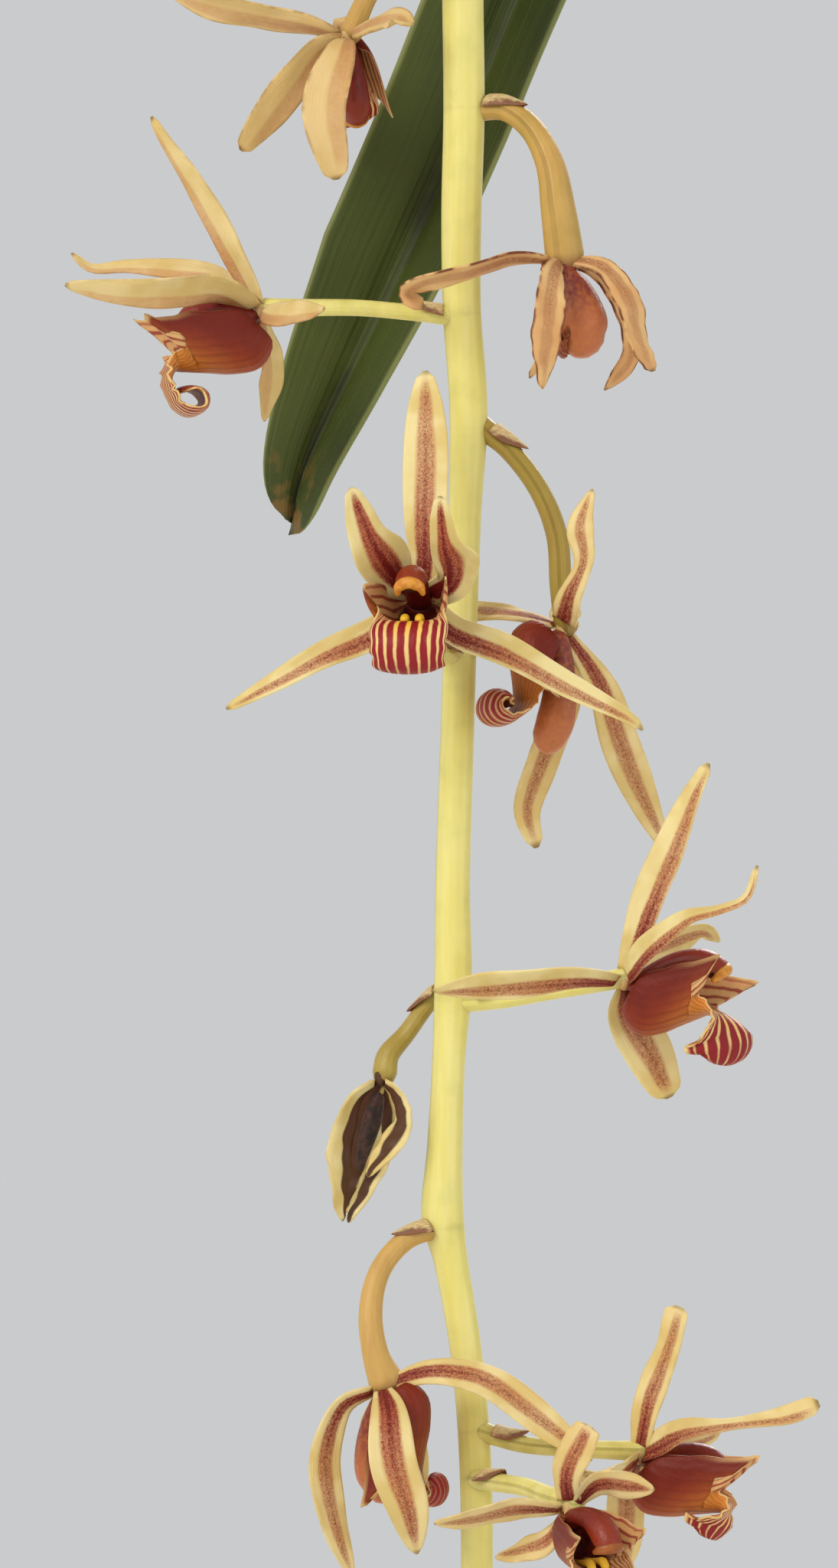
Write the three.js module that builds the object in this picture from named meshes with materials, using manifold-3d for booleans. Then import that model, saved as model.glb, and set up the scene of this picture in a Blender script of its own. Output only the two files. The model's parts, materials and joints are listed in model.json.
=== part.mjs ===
// A potted Cymbidium aloifolium in a clay pot that hangs on a wire hanger. One flower spike arches over
// the rim and hangs free below the pot, with flowers all along it. Millimetres, +Z up, +X to the right
// and +Y away from the viewer. The origin is the top of the hook's inner curve, where the pot hangs.

import * as THREE from "three";
import { mergeVertices } from "three/addons/utils/BufferGeometryUtils.js";
import Module from "manifold-3d";

const wasm = await Module();
wasm.setup();

// Driving dimensions
const GAP = 0.3; // between pieces that touch

const POT = {
  rimZ: -300, height: 115, rimRadius: 70, collarHeight: 24, collarStep: 5.5, baseRadius: 46,
  wall: 6.5, floor: 9, drainRadius: 8, sides: 36,
};
const BARK = { belowRim: 13, chips: 17, sides: 24 };
const WIRE = { radius: 1.1, count: 3, firstAngle: 90, holeBelowRim: 8, holeRadius: 2.4, clearOfRim: 4 };
const HOOK = {
  wireRadius: 1.6, innerRadius: 13, openAngle: -30, throatDrop: 9, shankTop: -29,
  ferruleBottom: -52, ferruleHeight: 11, ferruleRadius: 6,
};
const BULB_SUNK = 22; // how deep the pseudobulbs stand in the bark

// The middle of the stretch of spike that is seen from near: the flowers are placed from this point.
const SPIKE_ORIGIN = new THREE.Vector3(-4, -95, -546);

const TEPAL = { thickness: 0.9, steps: 5 };
const HUB_RADIUS = 1.7;
const BRACT_LENGTH = 2.2;

// Small helpers
const vec = (p) => (p instanceof THREE.Vector3 ? p.clone() : new THREE.Vector3(...p));
const mix = (a, b, t) => a + (b - a) * t;
const rad = (degrees) => (degrees * Math.PI) / 180;

let seed = 20;
function random() {
  seed = (seed * 1664525 + 1013904223) % 4294967296;
  return seed / 4294967296;
}

function geometryOf(points, triangles) {
  const geometry = new THREE.BufferGeometry();
  geometry.setAttribute("position", new THREE.Float32BufferAttribute(points.flatMap((p) => [p.x, p.y, p.z]), 3));
  geometry.setIndex(triangles.flat());
  return geometry;
}

function signedVolume(geometry) {
  const p = geometry.attributes.position;
  const index = geometry.index.array;
  const [a, b, c] = [new THREE.Vector3(), new THREE.Vector3(), new THREE.Vector3()];
  let volume = 0;
  for (let i = 0; i < index.length; i += 3) {
    a.fromBufferAttribute(p, index[i]);
    b.fromBufferAttribute(p, index[i + 1]);
    c.fromBufferAttribute(p, index[i + 2]);
    volume += a.dot(b.cross(c)) / 6;
  }
  return volume;
}

function solid(geometry) {
  const bare = geometry.clone();
  bare.deleteAttribute("normal");
  bare.deleteAttribute("uv");
  const merged = mergeVertices(bare, 1e-4);
  const triVerts = Uint32Array.from(merged.index.array);
  if (signedVolume(merged) < 0) {
    for (let i = 0; i < triVerts.length; i += 3) {
      [triVerts[i], triVerts[i + 1]] = [triVerts[i + 1], triVerts[i]];
    }
  }
  const vertProperties = Float32Array.from(merged.attributes.position.array);
  return new wasm.Manifold(new wasm.Mesh({ numProp: 3, vertProperties, triVerts }));
}

const join = (geometries) => geometries.map(solid).reduce((whole, piece) => whole.add(piece));

// A cut can leave a loose scrap, so only the largest body is kept.
function largest(body) {
  const pieces = body.decompose();
  return pieces.reduce((best, piece) => (piece.volume() > best.volume() ? piece : best));
}

function bodyGeometry(body) {
  const { vertProperties, triVerts } = body.getMesh();
  const geometry = new THREE.BufferGeometry();
  geometry.setAttribute("position", new THREE.Float32BufferAttribute(Float32Array.from(vertProperties), 3));
  geometry.setIndex(Array.from(triVerts));
  return geometry;
}

// A thin curved sheet from a grid of points on its middle surface. Both faces share the border points,
// and are split into triangles alike, on diagonals that run in from the four corners.
function sheet(grid, thickness) {
  const rows = grid.length - 1;
  const columns = grid[0].length - 1;
  const points = [];
  const faces = { top: [], bottom: [] };
  for (let i = 0; i <= rows; i += 1) {
    faces.top.push([]);
    faces.bottom.push([]);
    for (let j = 0; j <= columns; j += 1) {
      const p = grid[i][j];
      const border = i === 0 || j === 0 || i === rows || j === columns;
      if (border) {
        faces.top[i].push(points.length);
        faces.bottom[i].push(points.length);
        points.push(p);
      } else {
        const along = grid[i + 1][j].clone().sub(grid[i - 1][j]);
        const across = grid[i][j + 1].clone().sub(grid[i][j - 1]);
        const half = along.cross(across).normalize().multiplyScalar(thickness / 2);
        faces.top[i].push(points.length);
        points.push(p.clone().add(half));
        faces.bottom[i].push(points.length);
        points.push(p.clone().sub(half));
      }
    }
  }
  const triangles = [];
  for (let i = 0; i < rows; i += 1) {
    for (let j = 0; j < columns; j += 1) {
      const falling = i < rows / 2 === j < columns / 2;
      const corners = [[i, j], [i, j + 1], [i + 1, j + 1], [i + 1, j]];
      const split = falling ? [[0, 1, 2], [0, 2, 3]] : [[0, 1, 3], [1, 2, 3]];
      for (const triple of split) {
        const [a, b, c] = triple.map((k) => faces.top[corners[k][0]][corners[k][1]]);
        const [d, e, f] = triple.map((k) => faces.bottom[corners[k][0]][corners[k][1]]);
        triangles.push([a, b, c], [f, e, d]);
      }
    }
  }
  return geometryOf(points, triangles);
}

// A stem along a line of points, with its own radius at each of them.
function stem(line, radii, sides = 6, steps = (line.length - 1) * 2) {
  const curve = new THREE.CatmullRomCurve3(line.map(vec), false, "centripetal");
  const points = [];
  const triangles = [];
  let side = null;
  for (let i = 0; i <= steps; i += 1) {
    const t = i / steps;
    const centre = curve.getPoint(t);
    const along = curve.getTangent(t);
    const start = side ?? (Math.abs(along.x) < 0.9 ? new THREE.Vector3(1, 0, 0) : new THREE.Vector3(0, 1, 0));
    side = start.clone().addScaledVector(along, -start.dot(along)).normalize();
    const other = along.clone().cross(side);
    const place = t * (radii.length - 1);
    const low = Math.min(Math.floor(place), radii.length - 2);
    const radius = mix(radii[low], radii[low + 1], place - low);
    for (let k = 0; k < sides; k += 1) {
      const angle = (2 * Math.PI * k) / sides;
      points.push(centre.clone()
        .addScaledVector(side, radius * Math.cos(angle))
        .addScaledVector(other, radius * Math.sin(angle)));
    }
  }
  for (let i = 0; i < steps; i += 1) {
    for (let k = 0; k < sides; k += 1) {
      const [a, b] = [i * sides + k, i * sides + ((k + 1) % sides)];
      triangles.push([a, b, b + sides], [a, b + sides, a + sides]);
    }
  }
  const last = steps * sides;
  for (let k = 1; k < sides - 1; k += 1) {
    triangles.push([0, k + 1, k], [last, last + k, last + k + 1]);
  }
  return geometryOf(points, triangles);
}

// A blade such as a sepal, a petal or a bract: widest a little past the middle, its edges lifted by
// the cup and by waves. Its face looks at `toward`, turned about its own length by `turn` degrees.
function blade({ line, width, turn = [0, 0], toward, cup = 0.15, wave = 0.25, tip = 0.16, base = 0.36,
  steps = TEPAL.steps, thickness = TEPAL.thickness }) {
  const curve = new THREE.CatmullRomCurve3(line.map(vec), false, "centripetal");
  const widest = 0.55;
  const grid = [];
  for (let i = 0; i <= steps; i += 1) {
    const t = i / steps;
    const centre = curve.getPointAt(t);
    const along = curve.getTangentAt(t);
    const flat = along.clone().cross(vec(toward)).normalize();
    const face = flat.clone().cross(along);
    const angle = rad(mix(turn[0], turn[1], t));
    const across = flat.clone().multiplyScalar(Math.cos(angle)).addScaledVector(face, Math.sin(angle));
    const normal = face.clone().multiplyScalar(Math.cos(angle)).addScaledVector(flat, -Math.sin(angle));
    const swell = t < widest
      ? mix(base, 1, Math.sin((Math.PI / 2) * (t / widest)))
      : mix(1, tip, ((t - widest) / (1 - widest)) ** 2.4);
    const half = (width / 2) * swell;
    grid.push([-1, 0, 1].map((v) => {
      const lift = v === 0 ? 0 : cup * half + wave * swell * Math.sin(7 * t + v);
      return centre.clone().addScaledVector(across, v * half).addScaledVector(normal, lift);
    }));
  }
  return sheet(grid, thickness);
}

// Lip and column, in a flower's own frame: x forward out of the flower, z up toward the dorsal sepal.
// Each station of the lip is x, z, half width, how far the edges rise and how far they lean forward.
const LIP = [
  [3.4, -0.3, 1.0, 0.4, 0],
  [2.7, -4.6, 3.2, 3.6, 0],
  [5.4, -4.9, 4.3, 6.3, 2.8],
  [8.4, -3.3, 3.0, 1.4, 0.6],
  [10.4, -3.0, 3.5, 0, 0],
  [12.1, -4.7, 4.0, -0.3, 0],
  [11.6, -7.0, 3.4, -0.3, 0],
  [9.6, -7.7, 2.2, 0, 0],
];
const COLUMN = [[2.6, 0, -0.2], [4, 0, 1.1], [6.4, 0, 1.9], [8.7, 0, 1.6], [10.2, 0, 0.4]];
const COLUMN_RADII = [1.3, 1.35, 1.3, 1.65, 1.0];

function lipSheet(curl, grow) {
  const across = [-1, -0.5, 0, 0.5, 1];
  const neck = 4;
  const grid = LIP.map(([x, z, half, rise, lean], i) => across.map((v) => {
    const bend = (Math.PI / 2) * v;
    const point = new THREE.Vector3(
      x + lean * v * v,
      (half + grow) * Math.sin(bend),
      z + rise * (1 - Math.cos(bend)),
    );
    if (i > neck) {
      const [pivotX, pivotZ] = [LIP[neck][0], LIP[neck][1]];
      const turned = new THREE.Vector2(point.x - pivotX, point.z - pivotZ)
        .rotateAround(new THREE.Vector2(), rad(-curl));
      point.set(pivotX + turned.x, point.y, pivotZ + turned.y);
    }
    return point;
  }));
  return sheet(grid, 0.9 + 2 * grow);
}

function placed(geometry, hub, forward, up, scale) {
  const x = vec(forward).normalize();
  const y = vec(up).cross(x).normalize();
  const z = x.clone().cross(y);
  const matrix = new THREE.Matrix4().makeBasis(x, y, z).scale(new THREE.Vector3(scale, scale, scale));
  matrix.setPosition(vec(hub));
  return geometry.applyMatrix4(matrix);
}

function lipAndColumn(flower, grow = 0) {
  const { hub, forward, up, scale = 1, curl = 0 } = flower;
  const parts = [
    lipSheet(curl, grow),
    stem(COLUMN, COLUMN_RADII.map((r) => r + grow), 6, 3),
  ];
  return join(parts.map((part) => placed(part, hub, forward, up, scale)));
}

// A withered flower keeps a shrivelled dark strand where its lip and column were.
function driedStrand(flower, grow = 0) {
  const line = flower.strand;
  return join([stem(line, [0.6, 1.0, 1.0, 0.5].map((r) => r + grow), 6, 5)]);
}

// The open flower, in its own frame: x forward, y to its left, z up.
const OPEN_TEPALS = {
  dorsalSepal: { width: 4.8, line: [[1.5, 0, 7], [4.4, 0, 13.5], [7.6, 0, 20.5]], toward: [1, 0, -0.3] },
  leftPetal: { width: 4.4, line: [[3.2, 2.6, 4.2], [7.4, 4.6, 7.0], [12.4, 6.0, 11]], toward: [0.2, -1, 0.4] },
  rightPetal: { width: 4.4, line: [[3.2, -2.6, 4.2], [7.4, -4.6, 7.0], [12.4, -6.0, 11]], toward: [0.2, 1, 0.4] },
  leftSepal: { width: 4.6, line: [[0.2, 6, -3.6], [1.0, 12, -7.2], [0.2, 18.6, -11]], toward: [1, 0, 0.2] },
  rightSepal: { width: 4.6, line: [[0.2, -6, -3.6], [1.0, -12, -7.2], [0.2, -18.6, -11]], toward: [1, 0, 0.2] },
};

// A tepal's line starts inside the hub, on the way to its own first point.
function fromHub(hub, line) {
  const start = vec(line[0]).sub(vec(hub)).setLength(HUB_RADIUS * 0.6).add(vec(hub));
  return [start, ...line];
}

function tepalBlade(flower, { line, ...rest }) {
  return blade({ line: fromHub(flower.hub, line), toward: [0, -1, 0], ...rest });
}

function openTepals(flower) {
  const { hub, forward, up, scale = 1 } = flower;
  return Object.values(OPEN_TEPALS).map(({ line, ...rest }) => {
    const own = blade({ line: fromHub([0, 0, 0], line), steps: 4, ...rest });
    return placed(own, hub, forward, up, scale);
  });
}

const tepal = (width, turn, line, rest = {}) => ({ width, turn, line, ...rest });

// The flowers of the near stretch, in mm from SPIKE_ORIGIN: x right, y away from the viewer, z up.
// Each has its hub, the way it looks out, the stalk's line from the rachis, and the tepals' lines.
const NEAR_FLOWERS = {
  "04": {
    hub: [-7, 4, 72.5], forward: [0.1, 0.25, -0.96], up: [0.3, -0.93, -0.25], curl: 20, scale: 0.85,
    stalk: [[4.2, 0, 84], [-1, 2, 81], [-4.6, 3.5, 77]],
    tepals: [
      tepal(3.6, [50, 40], [[-10, 4, 73.6], [-15, 5, 74.6], [-20, 6, 75.7], [-24.5, 7, 77.2]]),
      tepal(2.6, [40, 40], [[-4.6, 1, 73.4], [-2, -4, 73.7], [-1.4, -8, 73]]),
      tepal(3.9, [35, 30], [[-9.6, 2, 71.4], [-12.6, 0.6, 67.5], [-17.3, 0, 61.3]]),
      tepal(4.3, [-15, 20], [[-7.7, 0, 70.6], [-9.2, -3, 65.2], [-8, -3, 58.3]]),
      tepal(3.6, [50, 60], [[-7.4, 8.6, 73.6], [-8.4, 12.4, 70], [-9.6, 13.4, 63]]),
    ],
  },
  "05": {
    hub: [13.6, -5, 50.5], forward: [0.24, -0.1, -0.97], up: [0.95, 0.2, 0.24], curl: 55, scale: 0.84,
    stalk: [[5.6, 0, 65.3], [8.2, -1, 65.2], [10.8, -2.6, 63.3], [12.6, -4, 59.8], [13.4, -5, 55.2]],
    stalkRadii: [1.2, 1.1, 1.2, 1.4, 1.7, 1.9],
    tepals: [
      tepal(2.8, [60, 50], [[9, -6.4, 50.6], [5, -7, 49.4], [0.2, -6.6, 48.3], [-1.3, -5.4, 47.2], [0.4, -5, 45.8]],
        { tip: 0.5 }),
      tepal(3.2, [20, 30], [[12.8, -9.8, 48.8], [12.2, -12, 43.6], [11.8, -11.6, 37.8]]),
      tepal(3.0, [40, 40], [[17.5, -6, 49.7], [20, -7, 46.6], [20.9, -7, 43.2], [22.4, -7, 39.6]], { tip: 0.6 }),
      tepal(2.6, [50, 50], [[14, -0.4, 49], [13.6, 2.4, 45], [10.8, 2.6, 39.4]]),
      tepal(2.6, [40, 40], [[17, -3, 49.5], [20, -2, 45], [20.2, -1.6, 41], [17.8, -1.6, 38]]),
    ],
  },
  "06": {
    hub: [-15.3, -2, 45.6], forward: [-0.97, -0.12, -0.24], up: [-0.24, 0, 0.97], curl: 25,
    stalk: [[3.4, -0.4, 45.2], [-1, -1, 45.6], [-6, -1.6, 46], [-11, -2, 46]],
    stalkRadii: [0.95, 0.8, 0.8, 0.85, 0.95],
    tepals: [
      tepal(4.4, [20, 30], [[-13.6, -6.4, 45.4], [-11, -10.4, 45.2], [-9, -15, 44.8]]),
      tepal(3.8, [50, 55], [[-14.9, 0.6, 43], [-14.4, 3, 39.6], [-15, 5, 35.2]]),
      tepal(3.2, [35, 35], [[-16.2, -2.4, 48], [-18.3, -2.6, 52], [-21.2, -3, 57.2], [-25.7, -3.6, 64.2]]),
      tepal(3.4, [-55, -50], [[-18.6, 0.6, 48.8], [-23, 4, 49.9], [-28.6, 7, 50.2], [-33.7, 8, 51.3]]),
      tepal(4.2, [40, 40], [[-18.8, -4.8, 47.6], [-23, -7.8, 47.5], [-28, -9.4, 47.3], [-34, -10, 47.6]]),
    ],
  },
  "07": {
    hub: [13.8, -3, 15], forward: [-0.14, -0.12, -0.98], up: [0.93, 0.3, -0.15], curl: 10, scale: 0.92,
    stalk: [[6, 0, 34.6], [8.6, -0.6, 32.4], [11.6, -1.4, 28.4], [13.3, -2.2, 24], [13.7, -2.8, 19]],
    stalkRadii: [1.15, 1.0, 1.0, 1.05, 1.1, 1.2],
    tepals: [
      tepal(3.4, [25, 30], [[15, -5.6, 18.4], [15.8, -6.8, 22], [15.9, -6.8, 25], [16.6, -6.4, 28.2]], { tip: 0.4 }),
      tepal(4.2, [25, 35], [[17.4, -0.6, 9.6], [19, 1.6, 5], [21, 3, 0], [24.3, 3.6, -7]]),
      tepal(3.6, [-65, -60], [[10, -1, 16.1], [6.4, 2.6, 16.6], [1.6, 5.2, 17]]),
      tepal(3.6, [20, 30], [[14.2, 2.6, 8], [12, 4, 2.6], [10.4, 3.4, -2.6], [11.4, 2.6, -6.2]], { tip: 0.4 }),
      tepal(3.4, [0, 0], [[13.9, 1.6, 15.8], [14.2, 7, 16.2], [14.6, 14, 15.6]]),
    ],
  },
  "08": {
    hub: [-0.8, -12.5, 17.2], forward: [-0.03, -1, -0.03], up: [0, 0, 1], curl: 0, scale: 0.93,
    stalk: [[3.4, -0.8, 12.6], [1.6, -4.6, 12.8], [0.2, -8, 14.6]],
    tepals: [
      tepal(4.9, [8, 8], [[0.5, -12.4, 22], [0.7, -11.6, 28], [0.7, -9.8, 34], [0.6, -7.6, 39.6]], { tip: 0.3 }),
      tepal(4.9, [0, -10], [[-2.4, -15.6, 19.6], [-4.6, -18.6, 23.2], [-6.4, -21.4, 28]]),
      tepal(4.9, [0, 10], [[1.8, -15.4, 19.4], [3.2, -18.6, 22.6], [2.1, -21.4, 27.2]]),
      tepal(3.0, [-15, -10], [[-4.4, -12.2, 14.4], [-8.6, -12, 12.4], [-13.4, -11.4, 9.8], [-18.4, -10.6, 7.3]]),
      tepal(3.2, [10, 15], [[3.2, -12.2, 15], [8.2, -12, 12.6], [14.4, -11, 9.2], [21.3, -9.6, 5.7]]),
    ],
  },
  "09": {
    hub: [19.8, -4, -19], forward: [0.99, -0.12, 0.05], up: [-0.05, 0, 1], curl: 0,
    stalk: [[4.6, -0.6, -21], [8.4, -1.6, -20.7], [12.4, -2.6, -20], [16, -3.6, -19.4]],
    stalkRadii: [1.1, 0.95, 0.9, 0.9, 1.0],
    tepals: [
      tepal(3.6, [35, 40], [[21.3, -4.6, -13.6], [24, -5.4, -6.6], [26.3, -5.8, -1], [27.9, -6, 2]]),
      tepal(3.2, [50, 60], [[22, -8.4, -15.6], [26, -11.6, -12.5], [29.6, -13.6, -11.4], [32.4, -14.4, -7.8]]),
      tepal(3.6, [-50, -50], [[21.4, 0.6, -16.6], [24.6, 4, -15.4], [27.8, 6.6, -14.8], [29, 8, -15.8]], { tip: 0.3 }),
      tepal(3.6, [35, 45], [[15.6, -7.2, -18.6], [10.6, -8.4, -18.9], [5.4, -8.2, -19.4], [1.2, -7.4, -19.9]]),
      tepal(4.9, [10, 15], [[19.9, 0.4, -22.4], [21.2, 1.4, -25.4], [23.6, 1.4, -30.4]], { tip: 0.45 }),
    ],
  },
  "10": {
    hub: [-3.7, 1.5, -28.4], strand: [[-4, 0.8, -30.4], [-4.6, 0.2, -32.4], [-5.2, 0, -34.6], [-5.7, 0.2, -37]],
    stalk: [[2.6, 1.2, -19.6], [1, 2.6, -21.2], [-1.2, 3, -24.2], [-3, 2.2, -26.4]],
    stalkRadii: [0.9, 0.85, 0.9, 1.1, 1.2],
    tepals: [
      tepal(3.2, [45, 40], [[-6.6, 0.2, -30.4], [-8, -0.8, -34], [-7.9, -0.4, -38.4], [-7.5, 0.6, -42.4]]),
      tepal(2.8, [-50, -40], [[-2.2, 0, -30], [-1.5, -1.6, -32.4], [-2.8, -2.8, -35], [-5, -3, -38]]),
      tepal(4.4, [10, 0], [[-5.2, 3.4, -31], [-6, 4.2, -35], [-7.2, 3.6, -41.6]]),
      tepal(2.6, [-30, -40], [[-3.2, 3.6, -30.6], [-3, 3.4, -34.6], [-4.8, 2, -38.6], [-7, 1.4, -42.6]]),
    ],
  },
  "11": {
    hub: [-3.6, -5.5, -58], forward: [0.06, 0.08, -0.99], up: [-0.96, 0.25, -0.05], curl: 20, scale: 0.97,
    stalk: [[2.2, -0.6, -42.8], [-1.2, -1.6, -44], [-3.8, -3, -47], [-4.7, -4.4, -51], [-4.2, -5.2, -55]],
    stalkRadii: [1.0, 1.0, 1.05, 1.15, 1.3, 1.75],
    tepals: [
      tepal(3.4, [30, 30], [[-7.4, -6.4, -59.8], [-9.1, -7, -64.6], [-8.4, -6.6, -70.4], [-6.4, -6, -76.6]]),
      tepal(4.7, [5, 15], [[-2.9, -10, -60.4], [-2.5, -12.2, -65], [-1.1, -12.4, -69.4], [-0.2, -11.4, -73.8]]),
      tepal(3.8, [25, 35], [[1, -6.6, -56.6], [6, -7.2, -57.3], [10.6, -8, -60.4], [16.6, -8.6, -65]]),
      tepal(3.6, [40, 50], [[-2, -1.6, -60], [-0.8, 1.4, -64], [0.6, 2.4, -70]]),
      tepal(3.6, [50, 60], [[-5.4, -2, -59.4], [-7, 0.6, -62], [-8, 2.6, -67]]),
    ],
  },
  "12": {
    hub: [21.3, -3, -64.8], forward: [0.97, -0.12, -0.2], up: [0.2, 0, 0.97], curl: 0,
    stalk: [[6, -0.6, -62.6], [10, -1.4, -63.8], [15, -2.2, -64.2]],
    stalkRadii: [1.0, 0.85, 0.85, 1.0],
    tepals: [
      tepal(3.6, [35, 35], [[22.2, -3.4, -59.5], [24, -3.8, -54.6], [25.2, -4, -50.4]], { tip: 0.8, base: 0.45 }),
      tepal(2.8, [55, 30], [[25, -6.6, -62.4], [30, -9, -61.5], [35, -10, -60.7], [38.4, -10.4, -59.5]], { tip: 0.6 }),
      tepal(3.2, [-50, -50], [[24.4, 1.4, -64.2], [27, 4, -63.8], [29.4, 6, -63]], { tip: 0.4 }),
      tepal(3.4, [50, 50], [[19, -8.6, -66.2], [17, -13, -66.2], [15.6, -17, -65.6]]),
      tepal(4.2, [20, 20], [[20.4, 1.4, -67.2], [20, 4, -71], [20.4, 5, -76]]),
    ],
  },
  "13": {
    hub: [14.4, -18, -69], forward: [0.42, -0.8, -0.42], up: [0.1, -0.4, 0.9], curl: 0, scale: 0.92,
    stalk: [[5.6, -1.2, -67.2], [8, -4.6, -67.4], [10.4, -9, -67.6], [12.6, -14, -68.2]],
    tepals: [
      tepal(3.2, [45, 50], [[9.6, -17.6, -69], [5, -16.6, -70], [1.4, -15.6, -70.6]]),
      tepal(3.0, [-45, -50], [[12.4, -16.4, -72.2], [10, -14.4, -73.4], [7.3, -12.4, -74]]),
      tepal(4.0, [15, 25], [[14.2, -19.4, -65.6], [16.2, -20.4, -61]], { tip: 0.7, base: 0.45 }),
      tepal(3.8, [-10, 0], [[17, -21.4, -66], [20, -24, -64.6], [22.6, -26, -64.8]]),
      tepal(3.8, [10, 0], [[11.6, -21.4, -66.6], [10, -25, -66.4], [8.8, -28, -66.8]]),
    ],
  },
};

// The rest of the spike carries plain open flowers: the stalk leaves the rachis at height z, to the side
// given by the angle (0 right, 90 away from the viewer), and hangs the flower at its end.
const FAR_FLOWERS = {
  "01": { z: 134, angle: 200, out: 17, drop: 4 },
  "02": { z: 118, angle: 335, out: 17, drop: 3 },
  "03": { z: 101, angle: 262, out: 16, drop: 3 },
  "14": { z: -93, angle: 195, out: 14, drop: 9 },
  "15": { z: -108, angle: 75, out: 16, drop: 2 },
  "16": { z: -121, angle: 325, out: 16, drop: 2 },
};
const BUDS = [
  { z: -135, angle: 200, length: 12, radius: 2.5 },
  { z: -145, angle: 40, length: 10, radius: 2.2 },
  { z: -152, angle: 290, length: 8, radius: 1.8 },
  { z: -158, angle: 150, length: 6, radius: 1.4 },
];

// The spike's middle line from SPIKE_ORIGIN, down from the foot in the pot, with its radius.
const PEDUNCLE = [
  [8, 53, 232, 3.0], [8, 44, 243, 2.9], [8, 34, 250.5, 2.9], [8, 24, 253.2, 2.8], [7.6, 12, 249, 2.7],
  [7, 5, 239, 2.6], [6, 1.5, 222, 2.5], [5.2, 0.6, 196, 2.4], [4.6, 0, 168, 2.3], [4.2, 0, 140, 2.2], [4.2, 0, 110, 2.1],
];
const RACHIS = [
  [4.2, 0, 84, 2.05], [4.25, 0, 66, 2.1], [4.2, 0, 55, 1.9], [4.25, 0, 46, 1.85], [4.8, 0, 36, 1.85],
  [4.5, 0, 26, 1.6], [3.85, 0, 11, 1.63], [3.45, 0, -5, 1.63], [3.4, 0, -19, 1.75], [2.8, 0, -31, 1.62],
  [2.4, 0, -42.5, 2.1], [3.6, 0, -48.5, 1.6], [5.1, 0, -61, 1.5], [5.6, 0, -75, 1.55],
  [5.2, 0, -92, 1.45], [4.8, 0, -110, 1.35], [5.2, 0, -128, 1.15], [4.7, 0, -147, 0.95], [4.9, 0, -161, 0.6],
];

const spikeLine = [...PEDUNCLE, ...RACHIS];

function rachisAt(z) {
  const i = RACHIS.findIndex((row, k) => k > 0 && row[2] <= z);
  if (i < 0) return vec([4.2, 0, z]);
  const [above, below] = [RACHIS[i - 1], RACHIS[i]];
  const t = (above[2] - z) / (above[2] - below[2]);
  return vec([mix(above[0], below[0], t), 0, z]);
}

const outward = (angle) => new THREE.Vector3(Math.cos(rad(angle)), Math.sin(rad(angle)), 0);

function farFlower({ z, angle, out, drop }) {
  const foot = rachisAt(z);
  const side = outward(angle);
  const at = (reach, fall) => foot.clone().addScaledVector(side, reach).add(vec([0, 0, -fall]));
  return {
    hub: at(out, drop), forward: side.clone().add(vec([0, 0, -0.25])), up: vec([0, 0, 1]), curl: 10,
    stalk: [at(0.5, 0), at(out * 0.35, -0.6), at(out * 0.75, drop * 0.4)],
  };
}

const flowers = {};
for (const [number, flower] of Object.entries(FAR_FLOWERS)) flowers[number] = farFlower(flower);
for (const [number, flower] of Object.entries(NEAR_FLOWERS)) flowers[number] = flower;

// Looks
const looks = {
  tepal: { color: "#d8c07c", roughness: 0.55, metalness: 0 },
  lip: { color: "#8c2f28", roughness: 0.5, metalness: 0 },
  dried: { color: "#3a241b", roughness: 0.85, metalness: 0 },
  spike: { color: "#c9c168", roughness: 0.5, metalness: 0 },
  leaf: { color: "#36451f", roughness: 0.45, metalness: 0 },
  bulb: { color: "#7c8450", roughness: 0.6, metalness: 0 },
  bark: { color: "#6b4530", roughness: 0.95, metalness: 0 },
  clay: { color: "#b4653f", roughness: 0.9, metalness: 0 },
  wire: { color: "#8d8f90", roughness: 0.35, metalness: 1 },
};

const orchid = new THREE.Group();
function addPiece(name, body, look) {
  const piece = new THREE.Mesh(bodyGeometry(body), new THREE.MeshStandardMaterial(looks[look]));
  piece.name = name;
  orchid.add(piece);
}

// Flowers
const spike = new THREE.Group();
spike.position.copy(SPIKE_ORIGIN);
orchid.add(spike);

function addToSpike(name, body, look) {
  addPiece(name, body, look);
  spike.add(orchid.children.at(-1));
}

const hubBall = (hub) => new THREE.SphereGeometry(HUB_RADIUS, 6, 4).translate(...vec(hub).toArray());

for (const [number, flower] of Object.entries(flowers).sort()) {
  const middle = flower.strand ? driedStrand : lipAndColumn;
  const tepals = flower.tepals
    ? flower.tepals.map((row) => tepalBlade(flower, row))
    : openTepals(flower);
  let star = join([hubBall(flower.hub), ...tepals]);
  const room = middle(flower, GAP);
  if (star.intersect(room).volume() > 0.001) {
    star = largest(star.subtract(room));
  }
  addToSpike(`flower_${number}_sepals_petals`, star, "tepal");
  addToSpike(`flower_${number}_lip_column`, middle(flower), flower.strand ? "dried" : "lip");
}

// Spike: peduncle and rachis, with the stalks, bracts and buds that grow from it
function bract(foot, side) {
  const at = (reach, fall) => vec(foot).addScaledVector(side, reach).add(vec([0, 0, -fall]));
  return blade({
    line: [at(0.2, -1), at(1.9, 0.6), at(2.4, 0.6 + BRACT_LENGTH)], width: 2.6, toward: side.toArray(),
    steps: 2, wave: 0, cup: 0.3,
  });
}

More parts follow.
